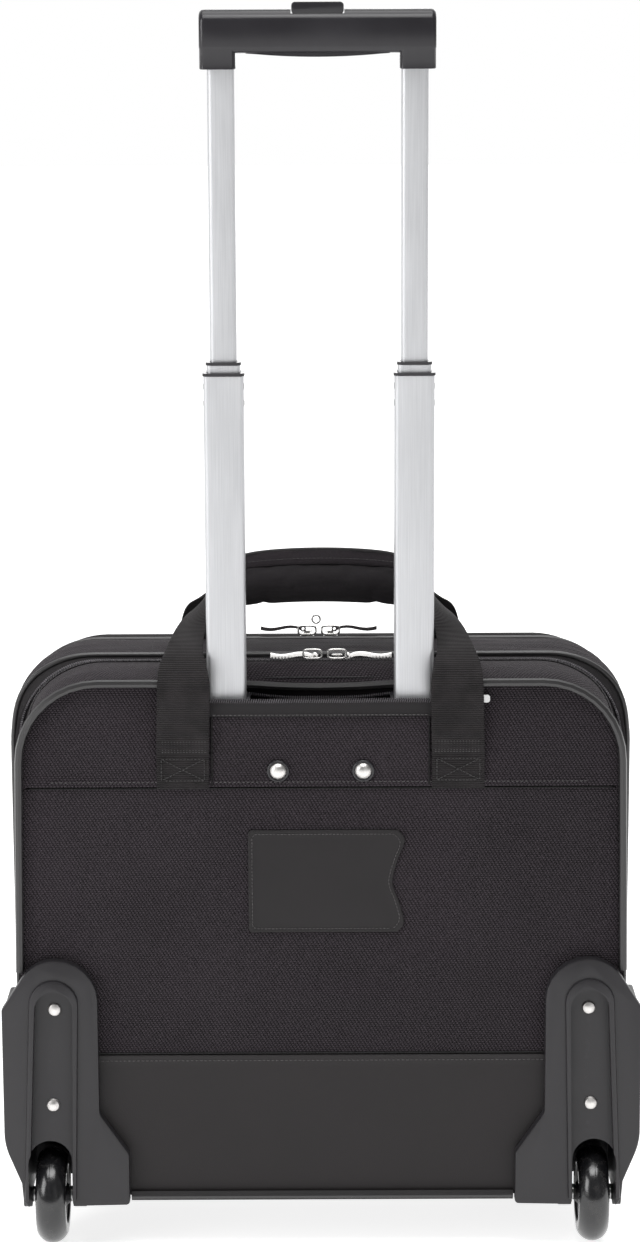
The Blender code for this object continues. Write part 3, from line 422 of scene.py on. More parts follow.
FABRIC = fabric_material("ballistic_fabric", (0.0017, 0.0012, 0.0016), (0.0455, 0.0370, 0.0436))
FINE_FABRIC = fabric_material(
    "fine_fabric", (0.0060, 0.0050, 0.0057), (0.0200, 0.0172, 0.0192), 0.0011, 0.5, 0.0002
)
FLAP_FABRIC = fabric_material(
    "flap_fabric", (0.0090, 0.0073, 0.0085), (0.0360, 0.0303, 0.0345), 0.0011, 0.5, 0.0002
)
LINING = fabric_material(
"lining", (0.050, 0.050, 0.052), (0.095, 0.095, 0.098), 0.0008, 0.5, 0.0001)
VINYL = vinyl_material("vinyl", (0.0138, 0.0120, 0.0125), (0.0180, 0.0157, 0.0164))
TAG_VINYL = vinyl_material("tag_vinyl", (0.0115, 0.0101, 0.0107), (0.0160, 0.0141, 0.0149), 2000.0)
# Near-black vinyl for the cords that paint the shadow under each seam's lap.
PAINTED_SEAM_SHADOW = vinyl_material("painted_seam_shadow", (0.0030, 0.0027, 0.0028), (0.0050, 0.0045, 0.0047))
PIPING = vinyl_material("piping_vinyl", (0.0095, 0.0086, 0.0092), (0.0150, 0.0137, 0.0145), 1800.0, 0.9)
DARK_BINDING = vinyl_material("binding", (0.009, 0.0080, 0.0085), (0.014, 0.0127, 0.0135))
WEBBING = webbing_material()
TAPE = tape_material()
HOUSING = plastic_material(
    "housing_plastic", (0.0165, 0.0153, 0.0171), (0.0218, 0.0204, 0.0228), 0.40, 1500.0, 0.00010
)
GRIP = plastic_material(
    "grip_plastic", (0.0170, 0.0160, 0.0185), (0.0230, 0.0220, 0.0250), 0.20, 1900.0, 0.00004
)
BOARD = plastic_material(
"board_vinyl", (0.018, 0.017, 0.018), (0.028, 0.026, 0.027), 0.6, 500.0, 0.0003)
# Dark nylon coil, its own tone lifted to a paler grey so that the teeth show a painted highlight in
# dotted rows.
GLINT_PAINTED_COIL = plastic_material(
"zip_coil_painted_glint", (0.045, 0.041, 0.046), (0.095, 0.088, 0.096), 0.30, 2500.0, 0.00002)
ALUMINIUM = aluminium_material()
CHROME = metal_material("chrome", (0.66, 0.65, 0.635), 0.18)
RIVET = metal_material("rivet_metal", (0.78, 0.76, 0.74), 0.42)
STEEL = metal_material("steel", (0.58, 0.58, 0.58), 0.32)
TYRE = tyre_material()
THREAD = thread_material("thread", (0.030, 0.027, 0.028), (0.085, 0.078, 0.080))
DARK_THREAD = thread_material("dark_thread", (0.012, 0.011, 0.012), (0.040, 0.037, 0.038))
ZIP_THREAD = thread_material("zip_thread", (0.020, 0.018, 0.020), (0.070, 0.064, 0.070))


# ---------------------------------------------------------------- mesh tools
def new_piece(name, verts, faces, finish, body, uvs=None):
    """A smooth mesh piece that rides on a body."""
    mesh = bpy.data.meshes.new(name)
    mesh.from_pydata([tuple(v) for v in verts], [], faces)
    if uvs is not None:
        layer = mesh.uv_layers.new(name="cloth")
        for loop in mesh.loops:
            layer.data[loop.index].uv = uvs[loop.vertex_index]
    mesh.shade_smooth()
    made = bpy.data.objects.new(name, mesh)
    bpy.context.scene.collection.objects.link(made)
    for material in finish if isinstance(finish, (list, tuple)) else [finish]:
        mesh.materials.append(material)
    if body:
        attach(made, body)
    return made


def thicken(obj, thickness=CLOTH, offset=-1.0):
    made = obj.modifiers.new("Thickness", "SOLIDIFY")
    made.thickness = thickness
    made.offset = offset
    made.use_even_offset = True


def rounded_edges(obj, width, segments=2):
    made = obj.modifiers.new("Round", "BEVEL")
    made.width = width
    made.segments = segments
    made.limit_method = "ANGLE"


def reshape(mesh, weld=0.0, turn_out=False):
    """Welds points that are closer than weld, and turns the faces outward."""
    shape = bmesh.new()
    shape.from_mesh(mesh)
    if weld:
        bmesh.ops.remove_doubles(shape, verts=shape.verts, dist=weld)
    if turn_out:
        bmesh.ops.recalc_face_normals(shape, faces=shape.faces)
    shape.to_mesh(mesh)
    shape.free()


def grid_faces(rows, columns, flip=False, keep=None):
    """Quads over rows of points; keep says whether the face at a row and column stays."""
    faces = []
    for i in range(rows - 1):
        for j in range(columns - 1):
            if keep and not keep(i, j):
                continue
            a = i * columns + j
            quad = (a, a + 1, a + columns + 1, a + columns)
            faces.append(quad[::-1] if flip else quad)
    return faces


def tube_faces(rings, sides, first=0, flip=False):
    """Quads round a tube of rings with so many points each, from the point numbered first on."""
    faces = []
    for ring in range(rings - 1):
        for side in range(sides):
            a = first + ring * sides + side
            b = first + ring * sides + (side + 1) % sides
            faces.append((a, a + sides, b + sides, b) if flip else (a, b, b + sides, a + sides))
    return faces


def used_only(verts, faces, uvs):
    """The same mesh without the points that no face uses."""
    kept = sorted({index for face in faces for index in face})
    place = {old: new for new, old in enumerate(kept)}
    faces = [tuple(place[index] for index in face) for face in faces]
    return [verts[k] for k in kept], faces, [uvs[k] for k in kept]


def half_width(section, z):
    """Half the width of a section at a height."""
    share = (z - section.bottom) / (section.top - section.bottom)
    side = section.half_bottom + (section.half_top - section.half_bottom) * share
    over = z - (section.top - TOP_RADIUS)
    under = section.bottom + BOTTOM_RADIUS - z
    if over > 0:
        side -= TOP_RADIUS - math.sqrt(max(TOP_RADIUS**2 - over**2, 0.0))
    if under > 0:
        side -= BOTTOM_RADIUS - math.sqrt(max(BOTTOM_RADIUS**2 - under**2, 0.0))
    return side


def outline(section, inset=0.0):
    """(x, z, normal x, normal z) round a section, from its bottom middle up the right side."""
    low = section.bottom + inset
    high = section.top - inset
    low_radius = BOTTOM_RADIUS - inset
    high_radius = TOP_RADIUS - inset
    low_half = section.half_bottom - inset
    high_half = section.half_top - inset
    right = []
    for step in range(20):
        right.append(((low_half - low_radius) * step / 20, low, 0.0, -1.0))
    for step in range(9):
        turn = math.radians(90 * step / 8)
        x = low_half - low_radius * (1 - math.sin(turn))
        z = low + low_radius * (1 - math.cos(turn))
        right.append((x, z, math.sin(turn), -math.cos(turn)))
    start = low + low_radius
    end = high - high_radius
    for step in range(1, 40):
        share = step / 40
        x = low_half + (high_half - low_half) * share
        right.append((x, start + (end - start) * share, 1.0, 0.0))
    for step in range(17):
        turn = math.radians(90 * step / 16)
        x = high_half - high_radius * (1 - math.cos(turn))
        z = high - high_radius * (1 - math.sin(turn))
        right.append((x, z, math.cos(turn), math.sin(turn)))
    flat = high_half - high_radius
    for step in range(1, 41):
        right.append((flat * (1 - step / 40), high, 0.0, 1.0))
    left = [(-x, z, -nx, nz) for x, z, nx, nz in reversed(right[:-1])]
    return right + left


def between(first, second, share):
    """An outline that lies a share of the way from the first to the second."""
    return [tuple(a + (b - a) * share for a, b in zip(p, q)) for p, q in zip(first, second)]


def loft(name, rings, finish, body, row_finish=None, keep=None, flip=True):
    """A surface through rings of the same count; its map is in metres along and across."""
    verts = []
    uvs = []
    columns = len(rings[0])
    along = [0.0]
    for a, b in zip(rings[0], rings[0][1:]):
        along.append(along[-1] + (b - a).length)
    across = [0.0] * columns
    for index, ring in enumerate(rings):
        for column, point in enumerate(ring):
            if index:
                across[column] += (point - rings[index - 1][column]).length
            verts.append(point)
            uvs.append((along[column], across[column]))
    keeper = None
    if keep:
        def keeper(i, j):
            corners = (rings[i][j], rings[i][j + 1], rings[i + 1][j], rings[i + 1][j + 1])
            return keep(sum(corners, Vector()) / 4)
    faces = grid_faces(len(rings), columns, flip, keeper)
    rows = [face[0] // columns if not flip else face[-1] // columns for face in faces]
    verts, faces, uvs = used_only(verts, faces, uvs)
    made = new_piece(name, verts, faces, finish, body, uvs)
    if row_finish:
        for polygon, row in zip(made.data.polygons, rows):
            polygon.material_index = row_finish(row, polygon.center)
    return made


def even(share, half):
    """Columns that stand at equal distances."""
    return share * half


def panel(
    name, z_values, half_at, y_at, columns, finish, body, facing=-1, spread=even, keep=None
):
    """An upright panel of rows between -half and half; facing is -1 to the rear, 1 to the front.

    spread gives x from a share of -1 to 1 and the half width, and keep(x, z) the faces that stay.
    """
    verts = []
    uvs = []
    for z in z_values:
        half = half_at(z)
        for column in range(columns + 1):
            x = spread(2 * column / columns - 1, half)
            verts.append(at(x, y_at(x, z), z))
            uvs.append((x + 1.0, z))
    keeper = None
    if keep:
        def keeper(i, j):
            a = verts[i * (columns + 1) + j]
            b = verts[(i + 1) * (columns + 1) + j + 1]
            return keep((a.x + b.x) / 2, (a.z + b.z) / 2)
    faces = grid_faces(len(z_values), columns + 1, facing > 0, keeper)
    verts, faces, uvs = used_only(verts, faces, uvs)
    return new_piece(name, verts, faces, finish, body, uvs)


def steps(low, high, count):
    """Values from low to high in equal steps."""
    return [low + (high - low) * index / count for index in range(count + 1)]


def tube_along(name, points, radius, finish, body, sides=8, cyclic=False):
    """A round cord along points."""
    curve = bpy.data.curves.new(name, "CURVE")
    curve.dimensions = "3D"
    curve.bevel_depth = radius
    curve.bevel_resolution = max(1, sides // 4)
    curve.use_fill_caps = not cyclic
    spline = curve.splines.new("POLY")
    spline.points.add(len(points) - 1)
    for target, point in zip(spline.points, points):
        target.co = (*point, 1.0)
    spline.use_cyclic_u = cyclic
    source = bpy.data.objects.new(name + "_path", curve)
    bpy.context.scene.collection.objects.link(source)
    bpy.context.view_layer.update()
    graph = bpy.context.evaluated_depsgraph_get()
    mesh = bpy.data.meshes.new_from_object(source.evaluated_get(graph))
    bpy.data.objects.remove(source, do_unlink=True)
    bpy.data.curves.remove(curve)
    reshape(mesh, 1e-6, True)
    mesh.name = name
    mesh.shade_smooth()
    mesh.materials.clear()
    mesh.materials.append(finish)
    made = bpy.data.objects.new(name, mesh)
    bpy.context.scene.collection.objects.link(made)
    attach(made, body)


def boxes(name, places, finish, body):
    """Many small blocks in one piece, each of (centre, half vectors along, across and up)."""
    verts = []
    faces = []
    corners = [(i, j, k) for k in (-1, 1) for j in (-1, 1) for i in (-1, 1)]
    sides = ((0, 2, 3, 1), (4, 5, 7, 6), (0, 1, 5, 4), (2, 6, 7, 3), (0, 4, 6, 2), (1, 3, 7, 5))
    for centre, along, across, up in places:
        first = len(verts)
        for i, j, k in corners:
            taper = 0.72 if k > 0 else 1.0
            verts.append(centre + along * i * taper + across * j * taper + up * k)
        faces.extend(tuple(first + index for index in side) for side in sides)
    return new_piece(name, verts, faces, finish, body)


def stitches(name, paths, finish, body, pitch=STITCH_PITCH, radius=0.00032, fill=0.74):
    """Runs of thread along paths of (point, outward normal); each stitch dives in at its ends."""
    verts = []
    faces = []
    sides = 6
    for path in paths:
        marks = resample(path, pitch)
        for (start, up), (end, _) in zip(marks, marks[1:]):
            forward = end - start
            across = forward.cross(up).normalized()
            first = len(verts)
            for share, lift, size in (
                (0.0, -0.9, 0.35),
                (0.18, 0.25, 0.85),
                (0.5, 0.6, 1.0),
                (0.82, 0.25, 0.85),
                (1.0, -0.9, 0.35),
            ):
                middle = start + forward * (0.5 + (share - 0.5) * fill) + up * radius * lift
                for side in range(sides):
                    turn = 2 * math.pi * side / sides
                    verts.append(
                        middle
                        + across * radius * size * math.cos(turn)
                        + up * radius * size * math.sin(turn)
                    )
            faces += tube_faces(5, sides, first)
            faces.append(tuple(first + side for side in reversed(range(sides))))
            faces.append(tuple(first + 4 * sides + side for side in range(sides)))
    return new_piece(name, verts, faces, finish, body)


def teeth(name, path, across, body, start=0.0, reach=0.0013, offset=0.0):
    """A half coil of a zip along a path of (point, outward normal), on one side of it."""
    marks = resample(path, TEETH_PITCH)
    places = []
    for (a, up), (b, _) in zip(marks, marks[1:]):
        along = (b - a).normalized()
        centre = a.lerp(b, start) + across * (offset + reach * 0.6) + up * 0.0004
        places.append((centre, along * TEETH_PITCH * 0.31, across * reach, up * 0.0009))
    return boxes(name, places, GLINT_PAINTED_COIL, body)


def ring_of(section_points, y, out=0.0):
    """An outline's points in space. y and the outward offset are numbers or functions of a point."""
    made = []
    for x, z, nx, nz in section_points:
        here = y(x, z) if callable(y) else y
        reach = out(x, z, nx, nz) if callable(out) else out
        made.append(at(x + nx * reach, here, z + nz * reach))
    return made


def circle(centre, radius, count):
    """Points round an upright circle that faces the rear."""
    turns = [2 * math.pi * step / count for step in range(count)]
    return [centre + Vector((radius * math.cos(a), 0.0, radius * math.sin(a))) for a in turns]


def over_top(nz):
    """1 along a section's top and 0 down its sides, from the upward part of the normal."""
    return smooth((nz - 0.1) / 0.7)


def turned(name, profile, centre, finish, body):
    """A closed profile of (radius, offset along X), turned about the X line through centre."""
    verts = []
    count = len(profile)
    segments = 96
    for step in range(segments):
        turn = 2 * math.pi * step / segments
        for radius, along in profile:
            verts.append(centre + Vector((along, radius * math.cos(turn), radius * math.sin(turn))))
    faces = []
    for step in range(segments):
        for index in range(count):
            a = step * count + index
            b = step * count + (index + 1) % count
            c = (step + 1) % segments * count
            faces.append((a, c + index, c + (index + 1) % count, b))
    made = new_piece(name, verts, faces, finish, body)
    reshape(made.data, turn_out=True)
    return made


def perimeter(section, y, out, low_z):
    """A path of (point, normal) over the section's sides and top, down to a height."""
    path = []
    for x, z, nx, nz in outline(section):
        if z >= low_z and nz >= -0.01:
            path.append((at(x + nx * out, y, z + nz * out), Vector((nx, 0.0, nz))))
    return path


# ---------------------------------------------------------------- rear section
def rear_y(x, z):
    """Where the rear face's cloth lies: flat under the trim, softly filled between the seams."""
    share = clamp((z - VINYL_TOP) / (SEAM_Z - VINYL_TOP))
    edge = clamp(1 - (abs(x) / 0.205) ** 4)  # the filling fades toward the flanks
    pillow = 0.0022 * math.sin(math.pi * share) ** 0.7 * edge
    fold = 0.0006 * crumple(x, 0.0, z, 0.075) + 0.0003 * crumple(x, 3.0, z, 0.028)
    return -0.0002 - pillow - fold * (0.25 + 0.75 * edge) * math.sin(math.pi * clamp(share)) ** 0.3


def band_y(x, z):
    """The band above the seam: it laps over the main cloth and lies flat between the trims."""
    lap = 0.0022 * (1 - smooth((z - SEAM_Z) / 0.009))
    loose = 0.0005 * crumple(x, 7.0, z, 0.05) * smooth((z - SEAM_Z) / 0.02)
    return 0.0002 - lap + loose


def vinyl_y(x, z):
    """The vinyl below: its top edge laps over the cloth, and it sags a little below that."""
    lap = 0.0019 * (1 - smooth((VINYL_TOP - z) / 0.008))
    sag = 0.0008 * crumple(x, 11.0, z, 0.09)
    return -0.0006 - lap - sag * math.sin(math.pi * clamp((z - 0.04) / 0.109))


def past_notch(share, half):
    """Columns with one that runs up each end of the trolley's notch."""
    inner_share = 0.6
    if abs(share) <= inner_share + 1e-9:
        return NOTCH_HALF * share / inner_share
    past = (abs(share) - inner_share) / (1 - inner_share)
    return math.copysign(NOTCH_HALF + (half - NOTCH_HALF) * past, share)


def rear_half(z):
    """Half the width of the rear's cloth, just inside its piping."""
    return half_width(REAR, z) - 0.0005


def sewn_row(x_low, x_high, z, y_at, lift=0.0001, count=60):
    """A row for stitches across the rear, of (point, normal), just behind the cloth at y_at."""
    return [(at(x, y_at(x, z) - lift, z), BACK) for x in steps(x_low, x_high, count)]


def make_rear_panel():
    """The rear's two cloths and the vinyl below them, with a near-black cord along each seam that paints
    the shadow under its lap, and a stitched row at each seam.
    """
    main = panel(
        "rear_panel", steps(VINYL_TOP - 0.004, SEAM_Z + 0.002, 84), rear_half, rear_y, PANEL_COLUMNS,
        FABRIC, "case_body"
    )
    thicken(main)
    band = panel(
        "upper_band",
        [SEAM_Z - 0.0006, SEAM_Z - 0.0003, *steps(SEAM_Z, NOTCH_Z, 26)]
        + steps(NOTCH_Z, REAR.top - 0.0004, 10)[1:],
        rear_half,
        lambda x, z: band_y(x, z) + (0.0020 if z < SEAM_Z - 0.0004 else 0.0),
        PANEL_COLUMNS,
        FABRIC,
        "case_body",
        spread=past_notch,
        keep=lambda x, z: z < NOTCH_Z or abs(x) > NOTCH_HALF,
    )
    thicken(band)
    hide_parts("rear_section")

    vinyl = panel(
        "vinyl_panel",
        [*steps(REAR.bottom + 0.0006, VINYL_TOP, 46), VINYL_TOP + 0.0004, VINYL_TOP + 0.0007], rear_half,
        lambda x, z: vinyl_y(x, z) + (0.0018 if z > VINYL_TOP + 0.0005 else 0.0), PANEL_COLUMNS, VINYL,
        "case_body", keep=lambda x, z: abs(x) < 0.160 or z > HOUSING_BLOCK_TOP + 0.001
    )
    thicken(vinyl)
    # Each cord is a near-black tube laid along a seam as painted shadow under its lap; there is no cord
    # there.
    for name, z in (("seam_painted_shadow", SEAM_Z - 0.0017), ("vinyl_top_painted_shadow", VINYL_TOP + 0.0016)):
        fold = [at(x, rear_y(x, z) - 0.0002, z) for x in steps(-0.2130, 0.2130, 60)]
        tube_along(name, fold, 0.0008, PAINTED_SEAM_SHADOW, "case_body", 6)
    reach = 0.196
    rows = [
        sewn_row(-reach, reach, VINYL_TOP - 0.0035, vinyl_y),
        sewn_row(-reach, reach, SEAM_Z + 0.0030, band_y)
    ]
    stitches("panel_stitches", rows, THREAD, "case_body")


def slot_front(x):
    """Where the rear section's top begins behind the rear panel: forward of the trolley slot."""
    share = (SLOT_HALF - abs(x)) / (SLOT_HALF - SLOT_DEEP_HALF)
    return 0.0006 + (SLOT_BACK + 0.0004) * smooth(share)


def slot_edge_z(x):
    """The height of the top's edge, which sags behind the trolley."""
    sag = (REAR.top - SLOT_MIDDLE_Z) * (1 - smooth((abs(x) - 0.015) / 0.105))
    return REAR.top - 0.0008 - sag


def off_wheel_well(point):
    """Whether a point is clear of the wheel housings, where no cloth is drawn."""
    behind = point.y - REAR_PLANE < WELL_DEPTH
    return not (abs(point.x) > WELL_INNER and point.z < WELL_TOP and behind)


def make_rear_shell():
    """The gusset round the laptop compartment, its rim, and the lining inside."""
    outer = outline(REAR)
    inner = outline(REAR, LINING_INSET)
    end = REAR_END

    def start_y(x, z):
        return slot_front(x) if z > REAR.top - 0.0052 else 0.0006

    def out(x, z, nx, nz, share):
        top = smooth((nz - 0.2) / 0.6)
        flank = 0.0018 * clamp(nx * math.copysign(1.0, x)) * smooth((0.40 - z) / 0.1)
        rise = 0.0042 * share**0.6
        sag = (slot_edge_z(x) - REAR.top) * (1 - share) ** 1.6 * (1 if abs(x) < SLOT_HALF else 0)
        wave = 0.0007 * crumple(x, 30.0 + share, z, 0.045)
        hump = math.sin(math.pi * share) ** 0.8
        return top * (rise + sag) + (0.0030 * top + flank + wave) * hump - 0.0006

    rings = []
    for share in steps(0.0, 1.0, 9):
        rings.append(
            ring_of(
                outer, lambda x, z: start_y(x, z) + (end - start_y(x, z)) * share,
                lambda x, z, nx, nz: out(x, z, nx, nz, share)
            )
        )
    rings.append(ring_of(outer, end + 0.0008, -CLOTH))
    rings.append(ring_of(inner, end + 0.0008))
    for share in steps(0.0, 1.0, 6)[1:]:
        rings.append(ring_of(inner, lambda x, z: end + (start_y(x, z) + 0.0035 - end) * share))
    loft(
        "rear_gusset", rings, [FABRIC, LINING], "case_body",
        row_finish=lambda row, _: 0 if row < 9 else 1, keep=off_wheel_well
    )


def tape_wave(x):
    """How far the trolley pocket's zip waves up and down along its run."""
    return 0.0007 * crumple(x, 41.0, 0.0, 0.06)


def make_trolley_slot():
    """The slot's far wall below the second piping, the zip along its near edge, and its tapes."""
    verts = []
    uvs = []
    xs = steps(-SLOT_HALF, SLOT_HALF, 62)
    for drop in (-0.0012, 0.003, 0.010, 0.020, 0.032, 0.044):
        for x in xs:
            z = slot_edge_z(x) - drop
            y = slot_front(x) + 0.0010 + 0.05 * drop
            verts.append(at(x, y, z))
            uvs.append((x + 1.0, z))
    wall = new_piece(
        "slot_wall", verts, grid_faces(6, len(xs), flip=True), FINE_FABRIC, "case_body", uvs
    )
    thicken(wall, 0.0010)

    tape_rows = []
    tape_uvs = []
    for z, y in (
        (0.4046, -0.0006),
        (0.4050, -0.0012),
        (0.4080, -0.0013),
        (0.4115, -0.0013),
        (0.4140, -0.0010),
        (0.4158, -0.0003),
        (0.4160, 0.0026),
    ):
        for x in steps(-POCKET_ZIP_HALF, POCKET_ZIP_HALF, 70):
            tape_rows.append(at(x, y, z + tape_wave(x)))
            tape_uvs.append((x + 1.0, z))
    tape = new_piece(
"pocket_zip_tape", tape_rows, grid_faces(7, 71), TAPE, "case_body", tape_uvs)
    thicken(tape, 0.0009)
    coil = []
    slant = Vector((0.30, -0.15, 1.0)).normalized()
    for x in steps(-POCKET_ZIP_HALF, 0.0840, 112):
        middle = at(x, -0.0004, POCKET_ZIP_Z + tape_wave(x))
        coil.append((middle, Vector((0.00048, 0.0, 0.0)), slant * 0.0020, Vector((0.0, 0.0007, 0.0))))
    rounded_edges(boxes("pocket_zip_teeth", coil, GLINT_PAINTED_COIL, "case_body"), 0.0003, 1)
    far_edge = [
        (at(x, slot_front(x) - 0.0004, slot_edge_z(x) - 0.0062), BACK) for x in steps(-0.100, 0.100, 70)
    ]
    teeth("pocket_zip_far_teeth", far_edge, Vector((0.0, 0.0, -1.0)), "case_body")
    row = sewn_row(-0.078, 0.078, 0.4062, lambda x, z: -0.0016, 0.0, 40)
    stitches("pocket_zip_stitches", [row], THREAD, "case_body", pitch=0.0030, radius=0.00034)
    hem_x = 0.0786
    for name, side in SIDES:
        hem = [
            at(side * hem_x, band_y(side * hem_x, z) - 0.0004, z)
            for z in steps(SEAM_Z + 0.0005, 0.4050, 14)
        ]
        tube_along("pocket_hem_" + name, hem, 0.0008, FINE_FABRIC, "case_body", 6)


def make_tag():
    """The tag patch: its CAD outline, padded a little, with a row of stitches inside its edge."""
    low = 0.2440
    high = 0.3206
    straight = 0.0520  # where the straight edges end and the wavy end begins
    wave = smooth_path(
        [
            Vector((0.0555, low)), Vector((0.0603, 0.2510)), Vector((0.0570, 0.2660)),
            Vector((0.0520, 0.2815)), Vector((0.0560, 0.2990)), Vector((0.0610, 0.3135)),
            Vector((0.0560, high))
        ],
        5
    )
    left = -0.0530
    corner = 0.0032
    centre = Vector((0.0, 0.2823))
    turns = [math.radians(turn) for turn in range(15, 90, 15)]
    round_x = left + corner
    edge = list(wave)
    edge += [Vector((x, high)) for x in steps(straight, round_x, 20)]
    for a in turns:
        edge.append(Vector((round_x - corner * math.sin(a), high - corner + corner * math.cos(a))))
    edge += [Vector((left, z)) for z in steps(high - corner, low + corner, 14)]
    for a in turns:
        edge.append(Vector((round_x - corner * math.cos(a), low + corner - corner * math.sin(a))))
    edge += [Vector((x, low)) for x in steps(round_x, straight, 20)]
    verts = []
    uvs = []
    rings = ((1.0, 0.0), (1.0, 0.0011), (0.985, 0.0015), (0.95, 0.0011))
    rings += ((0.80, 0.0015), (0.55, 0.0016), (0.25, 0.0016), (0.02, 0.0016))
    count = len(edge)
    for share, lift in rings:
        for point in edge:
            p = centre + (point - centre) * share
            verts.append(at(p.x, rear_y(p.x, p.y) - lift, p.y))
            uvs.append((p.x + 1.0, p.y))
    faces = tube_faces(len(rings), count)
    faces.append(tuple((len(rings) - 1) * count + step for step in range(count)))
    patch = new_piece("tag", verts, faces, TAG_VINYL, "case_body", uvs)
    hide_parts("tag_patch")
    inside = []
    for point in edge + edge[:1]:
        p = centre + Vector(((point.x - centre.x) * 0.945, (point.y - centre.y) * 0.925))
        inside.append((at(p.x, rear_y(p.x, p.y) - 0.0014, p.y), BACK))
    stitches("tag_stitches", [inside], THREAD, "case_body", pitch=0.0027, radius=0.00027)


# ---------------------------------------------------------------- zips
def make_perimeter_zip(name, line, y, near, far, near_body, far_body, lifts=(0.0, 0.0)):
    """A zip over the sides and top: a tape and half a coil on each side of the line.

    near and far are each (section, y) of the cloth that the tape is sewn to, and lifts says how
    far that cloth stands above its section along the top.
    """
    path = perimeter(line, y, 0.0002, ZIP_END_Z)
    teeth(name + "_near_teeth", path, BACK, near_body, 0.0, 0.0015, 0.0002)
    teeth(name + "_far_teeth", path, FRONT, far_body, 0.5, 0.0015, 0.0002)
    halves = (("near", near, near_body, -1, lifts[0]), ("far", far, far_body, 1, lifts[1]))
    for label, (section, edge_y), body, side, lift in halves:
        mid = outline(line)
        sewn = outline(section)
        rings = []
        for share in (0.0, 0.35, 0.7, 1.0):
            points = between(mid, sewn, share)
            y_here = y + side * 0.0004 + (edge_y - y) * share
            bow = 0.0008 * share**2 - 0.0004
            rings.append(ring_of(points, y_here, lambda x, z, nx, nz: bow + lift * share * over_top(nz)))
        tape = loft(f"{name}_{label}_tape", rings, TAPE, body, flip=side > 0, keep=off_wheel_well)
        thicken(tape, 0.0008)
    for label, (section, edge_y), body, side, lift in halves:
        rows = []
        for gap in (0.0012, 0.0044):
            sewn_path = perimeter(section, edge_y + side * gap, 0.0008, 0.06)
            rows.append([(p + n * lift * over_top(n.z), n) for p, n in sewn_path])
        stitches(f"{name}_{label}_stitches", rows, ZIP_THREAD, body, 0.0024, 0.00042)
    for label, (point, normal) in (("right", path[0]), ("left", path[-1])):
        place = (
            point + normal * 0.0008 + Vector((0.0, -0.0034, -0.006)), Vector((0.0, 0.0, 0.0075)),
            Vector((0.0, 0.0028, 0.0)), normal * 0.0007
        )
        rounded_edges(boxes(f"{name}_end_{label}", [place], FINE_FABRIC, near_body), 0.0005)


# ---------------------------------------------------------------- main section and cover
def main_out(x, z, nx, nz, share):
    """How far the main gusset bulges out, at a share of its depth from the laptop zip on."""
    top = over_top(nz)
    flank = smooth(abs(nx)) * smooth((z - 0.045) / 0.08)
    wave = 0.0012 * crumple(x, 50.0 + 2.5 * share, z, 0.07)
    wave += 0.0005 * crumple(x, 60.0 + 6 * share, z, 0.025)
    hump = math.sin(math.pi * share) ** 0.75
    swell_out = (0.0052 * top + 0.0040 * flank * (1 - top) + wave) * hump
    return swell_out + MAIN_LIFT * top * (1 - share) - 0.0004


def make_main_section():
    """The main compartment's gusset and lining, and the padded wall that faces the laptop."""
    start = MAIN_START
    end = MAIN_END
    outer = outline(MAIN)
    inner = outline(MAIN, 0.0050)
    rings = [ring_of(outer, start, -0.0004)]
    for share in steps(0.0, 1.0, 18):
        y_here = start + (end - start) * share
        rings.append(ring_of(outer, y_here, lambda *point: main_out(*point, share)))
    rings.append(ring_of(outer, end + 0.0008, -CLOTH))
    rings.append(ring_of(inner, end + 0.0008))
    for share in steps(0.0, 1.0, 8)[1:]:
        rings.append(ring_of(inner, end + (start - end) * share))

    def finish_at(row, centre):
        if row >= 19:
            return 2
        return 1 if centre.z < SIDE_VINYL_TOP else 0

    gusset = loft(
        "main_gusset", rings, [FABRIC, VINYL, LINING], "main_body", row_finish=finish_at,
    )
    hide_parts("main_section")

    def quilt(x, z):
        """0 along the quilting's seams and 1 in the middle of each cell."""
        cell_x = abs(math.sin(math.pi * (x + 0.227) / 0.1135))
        cell_z = abs(math.sin(math.pi * (z - MAIN.bottom) / 0.0972))
        return (cell_x * cell_z) ** 0.35

    for name, y, lift, facing, cover in (
        ("main_back_wall", LAPTOP_ZIP + 0.0026, -0.0020, -1, FINE_FABRIC),
        ("main_inner_wall", LAPTOP_ZIP + 0.0072, 0.0010, 1, LINING),
    ):
        wall = panel(
            name,
            [MAIN.bottom + 0.0006, *steps(MAIN.bottom + 0.004, MAIN.top - 0.004, 70)]
            + [MAIN.top - 0.0008],
            lambda z: half_width(MAIN, z) - 0.0006,
            lambda x, z: y + lift * quilt(x, z),
            80,
            cover,
            "main_body",
            facing,
        )
        thicken(wall, 0.0010)
    for name, y, lift in (("near", start + 0.0006, MAIN_LIFT), ("far", end - 0.0006, 0.0)):
        path = [p + n * (0.0010 + lift * over_top(n.z)) for p, n in perimeter(MAIN, y, 0.0, 0.045)]
        tube_along("main_piping_" + name, path, 0.0021, PIPING, "main_body")

    def on_flank(side, z, share, lift):
        x = side * MAIN.half_top
        out = main_out(x, z, side, 0.0, share) + lift
        return at(x + side * out, start + (end - start) * share, z)

    seams = []
    for _, side in SIDES:
        out = Vector((side, 0.0, 0.0))
        z = SIDE_VINYL_TOP - 0.0035
        seams.append([(on_flank(side, z, share, 0.0003), out) for share in steps(0.04, 0.96, 30)])
    stitches("side_vinyl_stitches", seams, THREAD, "main_body")
    for name, side in SIDES:
        edge = [on_flank(side, SIDE_VINYL_TOP, share, 0.0) for share in steps(0.0, 1.0, 24)]
        tube_along("side_vinyl_edge_" + name, edge, 0.0009, VINYL, "main_body", 6)


